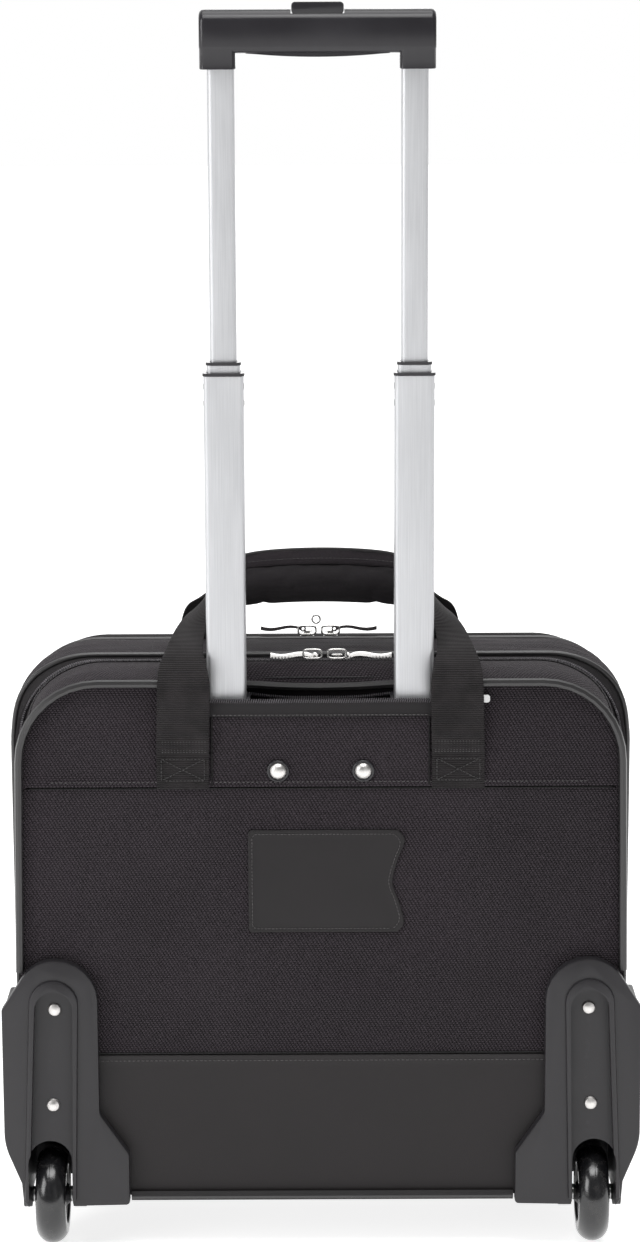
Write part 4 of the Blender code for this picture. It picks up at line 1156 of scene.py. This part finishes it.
def cover_y(x, z):
    """The front cover's face: a low pillow, flat under the pocket."""
    edge = clamp(1 - (abs(x) / COVER.half_top) ** 6)
    high = smooth((z - POCKET_HIGH.z) / 0.03)
    low = clamp((COVER.top - z) / 0.05)
    wave = 0.0007 * crumple(x, 70.0, z, 0.06)
    return COVER_FACE - 0.0004 + (0.0035 * high * smooth(low) + wave) * edge


def make_cover():
    """The front cover's gusset and lining, its face, and the piping between them."""
    start = COVER_START
    end = COVER_FACE - 0.0018
    outer = outline(COVER)
    inner = outline(COVER, LINING_INSET)
    rings = [
        ring_of(inner, end - 0.001), ring_of(inner, start - 0.0006),
        ring_of(outer, start - 0.0006, -CLOTH)
    ]
    for share in steps(0.0, 1.0, 6):
        bulge = 0.0010 * math.sin(math.pi * share) - 0.0003
        rings.append(ring_of(outer, start + (end - start) * share, bulge))
    gusset = loft(
        "cover_gusset", rings, [FABRIC, LINING], "front_body",
        row_finish=lambda row, _: 1 if row < 2 else 0
    )
    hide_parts("front_cover")
    z_values = [COVER.bottom + 0.0006, *steps(COVER.bottom + 0.004, COVER.top - 0.004, 80)]
    z_values.append(COVER.top - 0.0006)
    face = panel(
        "cover_face", z_values, lambda z: half_width(COVER, z) - 0.0008, cover_y, 96, FABRIC,
        "front_body", 1
    )
    thicken(face)
    inside = panel(
        "cover_lining", z_values, lambda z: half_width(COVER, z) - 0.0050,
        lambda x, z: COVER_FACE - 0.0065 - 0.0008 * crumple(x, 80.0, z, 0.05), 60, LINING, "front_body"
    )
    thicken(inside, 0.0010)
    path = ring_of(outer[:-1], COVER_FACE - 0.0010, 0.0008)
    tube_along("cover_piping", path, 0.0026, VINYL, "front_body", cyclic=True)


def make_pocket():
    """The slip pocket on the cover: a bellows of cloth, open at its bound top edge."""
    half = POCKET_HIGH.x
    low = POCKET_LOW.z
    high = POCKET_HIGH.z
    depth = POCKET_FACE - COVER_FACE - 0.0016

    def rise(distance, reach):
        return math.sin(math.pi / 2 * clamp(distance / reach)) ** 0.6

    def pocket_y(x, z):
        side = rise(half - abs(x), 0.012)
        foot = rise(z - low, 0.014)
        belly = 0.0012 * crumple(x, 90.0, z, 0.07)
        gape = 0.0010 * smooth((z - high + 0.03) / 0.03) * (1 - (x / half) ** 2)
        return COVER_FACE + 0.0006 + (depth - 0.0012 + belly * 0.5) * side * foot + gape * 0.5

    close = [1.0, 0.995, 0.985, 0.97, 0.955]  # columns stand closer where the cloth turns at each side
    xs = [-share for share in close] + [v / 40 for v in range(-37, 38)] + close[::-1]
    zs = [low, low + 0.001, low + 0.003, low + 0.006, low + 0.010, *steps(low + 0.014, high, 50)]
    verts = []
    uvs = []
    for z in zs:
        for share in xs:
            x = half * share
            verts.append(at(x, pocket_y(x, z), z))
            uvs.append((x + 1.0, z))
    front = new_piece(
        "pocket_front", verts, grid_faces(len(zs), len(xs), flip=True), FABRIC, "front_body", uvs,
    )
    thicken(front, 0.0014)
    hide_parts("front_pocket")
    binding = [at(half * s, pocket_y(half * s, high) - 0.0006, high + 0.0004) for s in xs]
    tube_along("pocket_binding", binding, 0.0017, VINYL, "front_body")
    rows = []
    for z in (high - 0.0055, high - 0.0095):
        rows.append([(at(x, pocket_y(x, z) + 0.0001, z), FRONT) for x in steps(-0.180, 0.180, 60)])
    stitches("pocket_stitches", rows, THREAD, "front_body")


# ---------------------------------------------------------------- partition and folds
def make_divider():
    """The padded partition behind the laptop, its padding thinning out toward its edges."""
    low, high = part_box("laptop_partition")
    middle_y = (low.y + high.y) / 2 - REAR_PLANE
    inset = 0.0063

    def half_at(z):
        width = half_width(REAR, clamp(z, REAR.bottom + inset, REAR.top - inset)) - inset
        return min(width, HOUSING_INNER - 0.002) if z < HOUSING_BLOCK_TOP + 0.002 else width

    z_values = [low.z, *steps(low.z + 0.003, HOUSING_BLOCK_TOP + 0.001, 12)]
    z_values += [*steps(HOUSING_BLOCK_TOP + 0.003, high.z - 0.003, 60), high.z]
    verts = []
    uvs = []
    columns = 64
    for side in (-1, 1):
        for z in z_values:
            half = half_at(z)
            for column in range(columns + 1):
                x = half * (2 * column / columns - 1)
                edge = clamp((half - abs(x)) / 0.006) * clamp((z - low.z) / 0.004)
                edge *= clamp((high.z - z) / 0.006)
                pad = 0.0019 * edge**0.5 + 0.0003 * crumple(x, 100.0 + side, z, 0.04) * edge
                verts.append(at(x, middle_y + side * pad, z))
                uvs.append((x + 1.0, z))
    count = len(z_values) * (columns + 1)
    faces = grid_faces(len(z_values), columns + 1)
    front = grid_faces(len(z_values), columns + 1, True)
    faces += [tuple(count + index for index in face) for face in front]
    divider = new_piece("padded_divider", verts, faces, LINING, "case_body", uvs)
    reshape(divider.data, 1e-5)
    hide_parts("laptop_partition")


def make_folds():
    """Folded gussets that close the bottom of each opening."""

    def low_run(inset, top):
        """The part of the outline below a height, from its left end round to its right end."""
        points = [point for point in outline(REAR, inset) if point[1] < top]
        half = len(points) // 2
        return points[half:] + points[:half]

    runs = (low_run(0.0060, 0.1500), low_run(0.0180, 0.1620))
    count = min(len(run) for run in runs)
    outer, inner = (run[(len(run) - count) // 2 :][:count] for run in runs)
    rings = []
    for share in steps(0.0, 1.0, 12):
        points = between(outer, inner, 1 - abs(2 * share - 1))
        rings.append(ring_of(points, LAPTOP_ZIP - 0.0024 + 0.0040 * share))
    fold = loft("laptop_fold", rings, FINE_FABRIC, None, keep=off_wheel_well)
    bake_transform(fold)
    verts = []
    uvs = []
    xs = steps(-0.196, 0.196, 60)
    rows = 10
    for index in range(rows + 1):
        share = index / rows
        y = MAIN_ZIP - 0.0060 + 0.0120 * share
        z = 0.0422 + 0.0092 * smooth(share)
        for x in xs:
            verts.append(at(x, y, z))
            uvs.append((x + 1.0, 0.02 * share))
    hinge = new_piece("cover_fold", verts, grid_faces(rows + 1, len(xs)), FINE_FABRIC, None, uvs)
    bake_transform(hinge)


# ---------------------------------------------------------------- straps and carry handle
def make_webbing(name, stations, body, node, mirror=1):
    """Flat webbing through stations of (x, y, z, width direction, half width)."""
    centres = smooth_path([at(mirror * x, y, z) for x, y, z, _, _ in stations], 8)
    halves = smooth_path(
        [Vector((mirror * d[0], d[1], d[2])).normalized() * h for *_, d, h in stations], 8
    )
    columns = 12
    verts = []
    uvs = []
    run = 0.0
    for index, (centre, half) in enumerate(zip(centres, halves)):
        if index:
            run += (centre - centres[index - 1]).length
        for column in range(columns + 1):
            share = 2 * column / columns - 1
            verts.append(centre + half * share)
            uvs.append((half.length * share + 1.0, run))
    strap = new_piece(name, verts, grid_faces(len(centres), columns + 1), WEBBING, body, uvs)
    thicken(strap, 0.0016, 0.0)
    rounded_edges(strap, 0.0004)
    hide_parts(node)


FLAT = (1.0, 0.0, 0.0)
UPRIGHT = (0.0, 0.0, -1.0)
REAR_STRAP = (
    (0.0995, -0.0013, 0.3520, FLAT, 0.0190),
    (0.0995, -0.0015, 0.3740, FLAT, 0.0190),
    (0.0992, -0.0046, 0.3860, FLAT, 0.0190),
    (0.0985, -0.0056, 0.4180, FLAT, 0.0190),
    (0.0980, -0.0086, 0.4310, FLAT, 0.0188),
    (0.0985, -0.0050, 0.4420, FLAT, 0.0172),
    (0.0978, 0.0090, 0.4520, FLAT, 0.0135),
    (0.0945, 0.0310, 0.4620, FLAT, 0.0108),
    (0.0890, 0.0540, 0.4725, (1.0, 0.0, -0.5), 0.0098),
    (0.0835, 0.0740, 0.4790, (0.7, 0.0, -1.2), 0.0092),
    (0.0780, 0.0860, 0.4805, UPRIGHT, 0.0090),
)
FRONT_LEG = (
    (0.0950, 0.1400, 0.4315, FLAT, 0.0120),
    (0.0945, 0.1365, 0.4420, FLAT, 0.0120),
    (0.0900, 0.1280, 0.4600, FLAT, 0.0112),
    (0.0820, 0.1160, 0.4760, (0.8, 0.0, -0.8), 0.0105),
    (0.0640, 0.1095, 0.4850, UPRIGHT, 0.0100),
    (0.0300, 0.1090, 0.4875, UPRIGHT, 0.0100),
)


def make_straps():
    """The two rear straps with their stitching, and the front strap from leg to leg."""
    for name, side in SIDES:
        make_webbing(
"rear_webbing_" + name, REAR_STRAP, "case_body", "rear_strap_" + name, side)
        rows = []
        for row in range(6):
            z = 0.3795 + 0.0016 * row
            y = -0.0038 - 0.0016 * row / 6
            rows.append([(at(side * x, y, z), BACK) for x in steps(0.0820, 0.1165, 12)])
        stitches("strap_bar_tack_" + name, rows, DARK_THREAD, "case_body", 0.0022, 0.00042)
        low_left, low_right = Vector((0.0840, 0.3580)), Vector((0.1150, 0.3580))
        high_left, high_right = Vector((0.0840, 0.3740)), Vector((0.1150, 0.3740))
        box = []
        for start, end in (
            (low_left, low_right),
            (low_right, high_right),
            (high_right, high_left),
            (high_left, low_left),
            (low_left, high_right),
            (high_left, low_right),
        ):
            run = [start.lerp(end, share) for share in steps(0.0, 1.0, 8)]
            box.append([(at(side * point.x, -0.0026, point.y), BACK) for point in run])
        stitches("strap_box_stitch_" + name, box, DARK_THREAD, "case_body", 0.0026, 0.00030)
    leg = list(FRONT_LEG)
    middle = [(0.0, 0.1090, 0.4885, UPRIGHT, 0.0100)]
    other = [(-x, y, z, (-d[0], d[1], d[2]), h) for x, y, z, d, h in reversed(leg)]
    make_webbing("front_webbing", leg + middle + other, "main_body", "front_strap")


PAD_LOW, PAD_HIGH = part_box("carry_handle")
PAD_HALF = PAD_HIGH.x
PAD_Y = (PAD_LOW.y + PAD_HIGH.y) / 2 - REAR_PLANE
PAD_MIDDLE = PAD_HIGH.z - 0.0160
PAD_DROP = 0.0060
PAD_RADIUS = 0.0150
FLAP_BASE = 0.0140  # the flap stands on the roll, this far above its middle
SWELL_FRAMES = 20


def pad_centre(x):
    """The height of the roll's middle, which drops toward its ends."""
    return PAD_MIDDLE - PAD_DROP * (x / PAD_HALF) ** 2


def swell(obj, pressure, cap):
    """Blows the cloth up a little with Blender's cloth, with no point moving more than cap."""
    remesh = obj.modifiers.new("Remesh", "REMESH")
    remesh.mode = "VOXEL"
    remesh.voxel_size = 0.0040
    bpy.context.view_layer.update()
    graph = bpy.context.evaluated_depsgraph_get()
    mesh = bpy.data.meshes.new_from_object(obj.evaluated_get(graph))
    obj.modifiers.clear()
    obj.data = mesh
    seam = obj.vertex_groups.new(name="seam")
    for vertex in mesh.vertices:
        x, y, z = vertex.co
        on_top = abs(y - REAR_PLANE - PAD_Y) < 0.0035 and z > pad_centre(x) + 0.008
        if on_top or abs(x) > PAD_HALF - 0.006:
            seam.add([vertex.index], 1.0, "REPLACE")
    rest = [vertex.co.copy() for vertex in mesh.vertices]
    cloth = obj.modifiers.new("Cloth", "CLOTH")
    settings = cloth.settings
    settings.use_pressure = True
    settings.uniform_pressure_force = pressure
    settings.effector_weights.gravity = 0.0
    settings.vertex_group_mass = "seam"
    settings.tension_stiffness = 12.0
    settings.compression_stiffness = 12.0
    settings.bending_stiffness = 0.3
    settings.shrink_min = -0.02
    cloth.point_cache.frame_start = 1
    cloth.point_cache.frame_end = SWELL_FRAMES
    scene = bpy.context.scene
    for number in range(1, SWELL_FRAMES + 1):
        scene.frame_set(number)
    graph = bpy.context.evaluated_depsgraph_get()
    swollen = obj.evaluated_get(graph).to_mesh()
    moved = [vertex.co.copy() for vertex in swollen.vertices]
    obj.evaluated_get(graph).to_mesh_clear()
    obj.modifiers.clear()
    for vertex, start, end in zip(mesh.vertices, rest, moved):
        step = end - start
        if step.length > cap:
            step *= cap / step.length
        vertex.co = start + step
    scene.frame_set(1)
    mesh.shade_smooth()
    divide = obj.modifiers.new("Subdivision", "SUBSURF")
    divide.levels = 1
    divide.render_levels = 1


def make_carry_pad():
    """The padded roll round the two straps, and the bound flap that closes it along its top."""
    verts = []
    sides = 28
    xs = steps(-1.0, 1.0, 40)
    for share in xs:
        x = share * (PAD_HALF + 0.001)
        size = max((1 - abs(share) ** 10) ** 0.5, 0.25)
        for side in range(sides):
            turn = 2 * math.pi * side / sides
            pinch = 1.0 - 0.06 * math.exp(-((turn - math.pi / 2) ** 2) / 0.08)
            y = PAD_Y + PAD_RADIUS * size * math.cos(turn)
            z = pad_centre(x) + 0.0153 * size * pinch * math.sin(turn)
            verts.append(at(x, y, z))
    faces = tube_faces(len(xs), sides, flip=True)
    faces.append(tuple(range(sides)))
    faces.append(tuple(reversed(range(len(verts) - sides, len(verts)))))
    pad = new_piece("carry_pad", verts, faces, FINE_FABRIC, None)
    swell(pad, 4.0, 0.0030)
    layer = pad.data.uv_layers.new(name="cloth")
    for loop in pad.data.loops:
        x, y, z = pad.data.vertices[loop.vertex_index].co
        turn = math.atan2(z - pad_centre(x), y - REAR_PLANE - PAD_Y)
        layer.data[loop.index].uv = (x + 1.0, 0.0155 * turn + 1.0)
    pad.data.materials.clear()
    pad.data.materials.append(FINE_FABRIC)
    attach(pad, "case_body")
    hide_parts("carry_handle")

    half = PAD_HALF - 0.006
    verts = []
    uvs = []
    xs = steps(-half, half, 50)
    edge = []
    for x in xs:
        height = 0.0100 * (1 - (abs(x) / half) ** 7) ** 0.6 + 0.0004
        base = pad_centre(x) + FLAP_BASE
        for share in (0.0, 0.3, 0.6, 0.85, 1.0):
            lean = -0.0040 + 0.0035 * share + 0.0008 * crumple(x, 120.0, share, 0.03)
            verts.append(at(x, PAD_Y + lean, base + height * share))
            uvs.append((x + 1.0, height * share))
        edge.append(at(x, PAD_Y - 0.0005 + 0.0008 * crumple(x, 120.0, 1.0, 0.03), base + height))
    faces = grid_faces(len(xs), 5, flip=True)
    flap = new_piece("carry_flap", verts, faces, FLAP_FABRIC, "case_body", uvs)
    thicken(flap, 0.0022, 0.0)
    tube_along("carry_flap_binding", edge, 0.0016, DARK_BINDING, "case_body")
    run = [
        (at(x, PAD_Y - 0.0040, pad_centre(x) + FLAP_BASE + 0.0045), BACK)
        for x in steps(-half + 0.008, half - 0.008, 40)
    ]
    stitches("carry_flap_stitches", [run], DARK_THREAD, "case_body", 0.0030, 0.00028)


# ---------------------------------------------------------------- hardware details
def make_zip_hardware():
    """The wire loops that join each slider to its pull, and the ring that a lock goes through."""
    for name in ("laptop_zip_left", "laptop_zip_right", "main_zip_left", "main_zip_right"):
        low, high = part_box(name + "_slider")
        middle = (low + high) / 2
        shift = LOOP_SHIFT if name.startswith("laptop") else 0.0
        base = low.z + (0.0044 if name.startswith("laptop") else 0.0014)
        parts = []
        for height, length, depth, thick in (
            (0.0, 0.0056, 0.0034, 0.0009),
            (0.0018, 0.0028, 0.0010, 0.0012),
            (0.0032, 0.0046, 0.0014, 0.0005),
        ):
            parts.append(
                (
                    Vector((middle.x + shift, middle.y, base + height)), Vector((length, 0.0, 0.0)),
                    Vector((0.0, depth, 0.0)), Vector((0.0, 0.0, thick))
                )
            )
        body = boxes(name + "_slider_body", parts, CHROME, name + "_runner")
        rounded_edges(body, 0.0004)
        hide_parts(name + "_slider")
        centre = Vector((middle.x + shift, low.y + 0.0010, base + 0.0044))
        loop = []
        for point in circle(Vector(), 1.0, 40):
            across, rise = (math.copysign(abs(part) ** 0.55, part) for part in (point.x, point.z))
            loop.append(centre + Vector((0.0068 * across, 0.0006 * rise, 0.0032 * rise)))
        tube_along(name + "_loop", loop, 0.0008, CHROME, name + "_runner", 8, True)
    low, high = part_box("main_zip_left_slider")
    centre = Vector((high.x + 0.0005, (low.y + high.y) / 2, high.z + 0.0052))
    ring = circle(centre, 0.0031, 24)
    tube_along("lock_ring", ring, 0.0007, CHROME, "main_zip_left_runner", 8, True)


def make_dark_rivet_rings():
    """A dark ring round each handle rivet."""
    for name in ("handle_rivet_left", "handle_rivet_right"):
        low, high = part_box(name)
        centre = at((low.x + high.x) / 2, -0.0012, (low.z + high.z) / 2)
        ring = circle(centre, 0.0071, 36)
        tube_along(name + "_ring", ring, 0.0011, GRIP, "case_body", 8, True)


def make_snap_bosses():
    """The collar's two snap bosses that show through each side of a lower tube."""
    for name, _ in SIDES:
        low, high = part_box("lower_tube_" + name)
        y = (low.y + high.y) / 2
        places = []
        for face_x, out in ((low.x, -1), (high.x, 1)):
            for drop in (0.0080, 0.0200):
                places.append(
                    (
                        Vector((face_x - out * 0.0006, y, high.z - drop)), Vector((0.0, 0.0034, 0.0)),
                        Vector((0.0, 0.0, 0.0030)), Vector((out * 0.0010, 0.0, 0.0))
                    )
                )
        bosses = boxes("snap_bosses_" + name, places, GRIP, "lower_stage_" + name)
        rounded_edges(bosses, 0.0006)


def make_tyres():
    """Round tyres with a fine mould line round the middle and a step down to the rim."""
    for name, _ in SIDES:
        low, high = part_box("tyre_" + name)
        centre = (low + high) / 2
        radius = (high.z - low.z) / 2
        half = (high.x - low.x) / 2
        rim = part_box("wheel_hub_" + name)
        rim_radius = (rim[1].z - rim[0].z) / 2 + 0.0003
        profile = [(rim_radius, 0.0104), (rim_radius + 0.0012, 0.0112)]
        for angle in range(66, -67, -6):
            turn = math.radians(angle)
            crown = radius - half + half * math.cos(turn)
            if angle == 0:
                profile += [(crown - 0.0001, 0.0006), (crown + 0.0002, 0.0), (crown - 0.0001, -0.0006)]
            else:
                profile.append((crown, half * math.sin(turn)))
        profile += [(rim_radius + 0.0012, -0.0112), (rim_radius, -0.0104)]
        tyre = turned("tyre_shell_" + name, profile, centre, TYRE, "wheel_" + name)
        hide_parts("tyre_" + name)


WELL_HALF = 0.0157  # half the width between the housing's cheeks


def make_axle_spacers():
    """A steel sleeve between the hub and each cheek of the housing."""
    for name, _ in SIDES:
        low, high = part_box("wheel_hub_" + name)
        centre = (low + high) / 2
        hub_half = (high.x - low.x) / 2
        for label, out in (("inner", -1), ("outer", 1)):
            start = centre + Vector((out * (hub_half + 0.0002), 0.0, 0.0))
            points = [start, start + Vector((out * (WELL_HALF - hub_half - 0.0003), 0.0, 0.0))]
            tube_along(
                f"axle_spacer_{name}_{label}", points, 0.0058, STEEL, "case_body", 24
            )


FINISHES = (
    (("handle_grip", "release_button"), GRIP),
    (("release_rod_left", "release_rod_right", "axle_left", "axle_right"), STEEL),
    (("trolley_base", "trolley_bracket", "wheel_housing_left", "wheel_housing_right"), HOUSING),
    (("wheel_hub_left", "wheel_hub_right", "front_foot_left", "front_foot_right"), HOUSING),
    (("guide_collar_left", "guide_collar_right", "lower_collar_left", "lower_collar_right"), GRIP),
    (("middle_collar_left", "middle_collar_right"), GRIP),
    (("guide_tube_left", "guide_tube_right", "lower_tube_left", "lower_tube_right"), ALUMINIUM),
    (("middle_tube_left", "middle_tube_right", "upper_tube_left", "upper_tube_right"), ALUMINIUM),
    (("base_board",), BOARD),
    (("rear_piping", "bottom_piping"), PIPING),
    (("handle_rivet_left", "handle_rivet_right"), RIVET),
    (("housing_rivet_upper_left", "housing_rivet_lower_left"), RIVET),
    (("housing_rivet_upper_right", "housing_rivet_lower_right"), RIVET),
    (("trolley_zip_slider", "trolley_zip_pull"), STEEL),
    (("laptop_zip_left_pull", "laptop_zip_right_pull"), CHROME),
    (("main_zip_left_pull", "main_zip_right_pull"), CHROME),
)


def finish_cad_nodes():
    """Each shown CAD node's material, with its round faces shaded smooth up to their edges."""
    for names, material in FINISHES:
        for name in names:
            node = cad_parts[name]
            mesh = node.data
            mesh.materials.clear()
            mesh.materials.append(material)
            if "custom_normal" in mesh.attributes:
                mesh.attributes.remove(mesh.attributes["custom_normal"])
            mesh.shade_smooth()
            weld = node.modifiers.new("Weld", "WELD")
            weld.merge_threshold = 0.00001
            edges = node.modifiers.new("Edges", "EDGE_SPLIT")
            edges.split_angle = math.radians(32)


# ---------------------------------------------------------------- camera, light and floor
ROOM_LIGHT = 0.17
BACKDROP_LIGHT = 0.85
OVERHEAD_LIGHT = 2.1
CAMERA_BACK = 2.2175  # how far the camera stands behind the rear panel's plane
CAMERA_HEIGHT = 0.9235
CAMERA_TILT = 11.438  # degrees downward
CAMERA_ROLL = -0.237
LENS = 91.6  # millimetres


def add_area_light(name, place, target, size, power, colour=(1.0, 1.0, 1.0)):
    light = bpy.data.lights.new(name, "AREA")
    light.shape = "RECTANGLE"
    light.size, light.size_y = size
    light.energy = power
    light.color = colour
    made = bpy.data.objects.new(name, light)
    bpy.context.scene.collection.objects.link(made)
    made.location = place
    made.rotation_euler = (Vector(target) - Vector(place)).to_track_quat("-Z", "Y").to_euler()


def make_studio():
    """The camera, the white room, the floor and the lights of the photo."""
    scene = bpy.context.scene
    lens = bpy.data.cameras.new("camera")
    lens.lens = LENS
    lens.sensor_width = 36.0
    camera = bpy.data.objects.new("camera", lens)
    camera.location = (0.0, REAR_PLANE - CAMERA_BACK, CAMERA_HEIGHT)
    camera.rotation_mode = "ZXY"
    camera.rotation_euler = (math.radians(90 - CAMERA_TILT), 0.0, math.radians(CAMERA_ROLL))
    scene.collection.objects.link(camera)
    scene.camera = camera

    world = bpy.data.worlds.new("studio")
    world.use_nodes = True
    tree = world.node_tree
    background = tree.nodes["Background"]
    background.inputs["Color"].default_value = (1.0, 1.0, 1.0, 1.0)
    sees = tree.nodes.new("ShaderNodeLightPath").outputs["Is Camera Ray"]
    _, away, _ = split(tree, coordinates(tree, "Generated"))
    backdrop = span(tree, away, 0.1, 0.7, ROOM_LIGHT, BACKDROP_LIGHT)
    seen = calc(tree, "MAXIMUM", backdrop, sees)
    link(tree, seen, background.inputs["Strength"])
    scene.world = world
    scene.view_settings.view_transform = "Standard"

    floor_material, tree, shader = new_material(
        "floor", Roughness=0.9, Specular_IOR_Level=0.1, Emission_Color=(1.0, 1.0, 1.0, 1.0),
        Emission_Strength=0.80
    )
    grain = cloud(tree, coordinates(tree, "Object"), 40.0, 3.0)
    paint(tree, shader, span(tree, grain, 0.3, 0.7), (0.62, 0.62, 0.62), (0.64, 0.64, 0.64))
    shape = bmesh.new()
    bmesh.ops.create_grid(shape, x_segments=8, y_segments=8, size=14.0)
    mesh = bpy.data.meshes.new("floor")
    shape.to_mesh(mesh)
    shape.free()
    mesh.materials.append(floor_material)
    floor = bpy.data.objects.new("floor", mesh)
    scene.collection.objects.link(floor)

    add_area_light("key", (-2.4, -1.5, 1.4), (-0.15, 0.0, 0.35), (1.2, 1.6), 32.0)
    add_area_light("fill", (1.5, -2.4, 1.1), (0.0, 0.0, 0.35), (1.0, 1.8), 1.0)
    add_area_light("front", (0.4, 2.6, 1.4), (0.0, 0.0, 0.3), (1.6, 1.4), 12.0)
    add_area_light("top", (0.0, -0.9, 2.3), (0.0, 0.0, 0.5), (1.9, 0.8), 18.0)
    overhead = bpy.data.lights.new("overhead", "SUN")
    overhead.energy = OVERHEAD_LIGHT
    overhead.angle = math.radians(60)
    lamp = bpy.data.objects.new("overhead", overhead)
    scene.collection.objects.link(lamp)


make_studio()
finish_cad_nodes()
make_rear_panel()
make_rear_shell()
make_trolley_slot()
make_tag()
make_main_section()
make_cover()
make_pocket()
make_divider()
make_folds()
make_perimeter_zip(
    "laptop_zip", LAPTOP_LINE, LAPTOP_ZIP + 0.0001, (REAR, REAR_END), (MAIN, MAIN_START), "case_body",
    "main_body", (0.0044, MAIN_LIFT)
)
make_perimeter_zip(
    "main_zip", MAIN_LINE, MAIN_ZIP + 0.0001, (MAIN, MAIN_END), (COVER, COVER_START), "main_body",
    "front_body"
)
make_straps()
make_carry_pad()
make_zip_hardware()
make_dark_rivet_rings()
make_snap_bosses()
make_tyres()
make_axle_spacers()
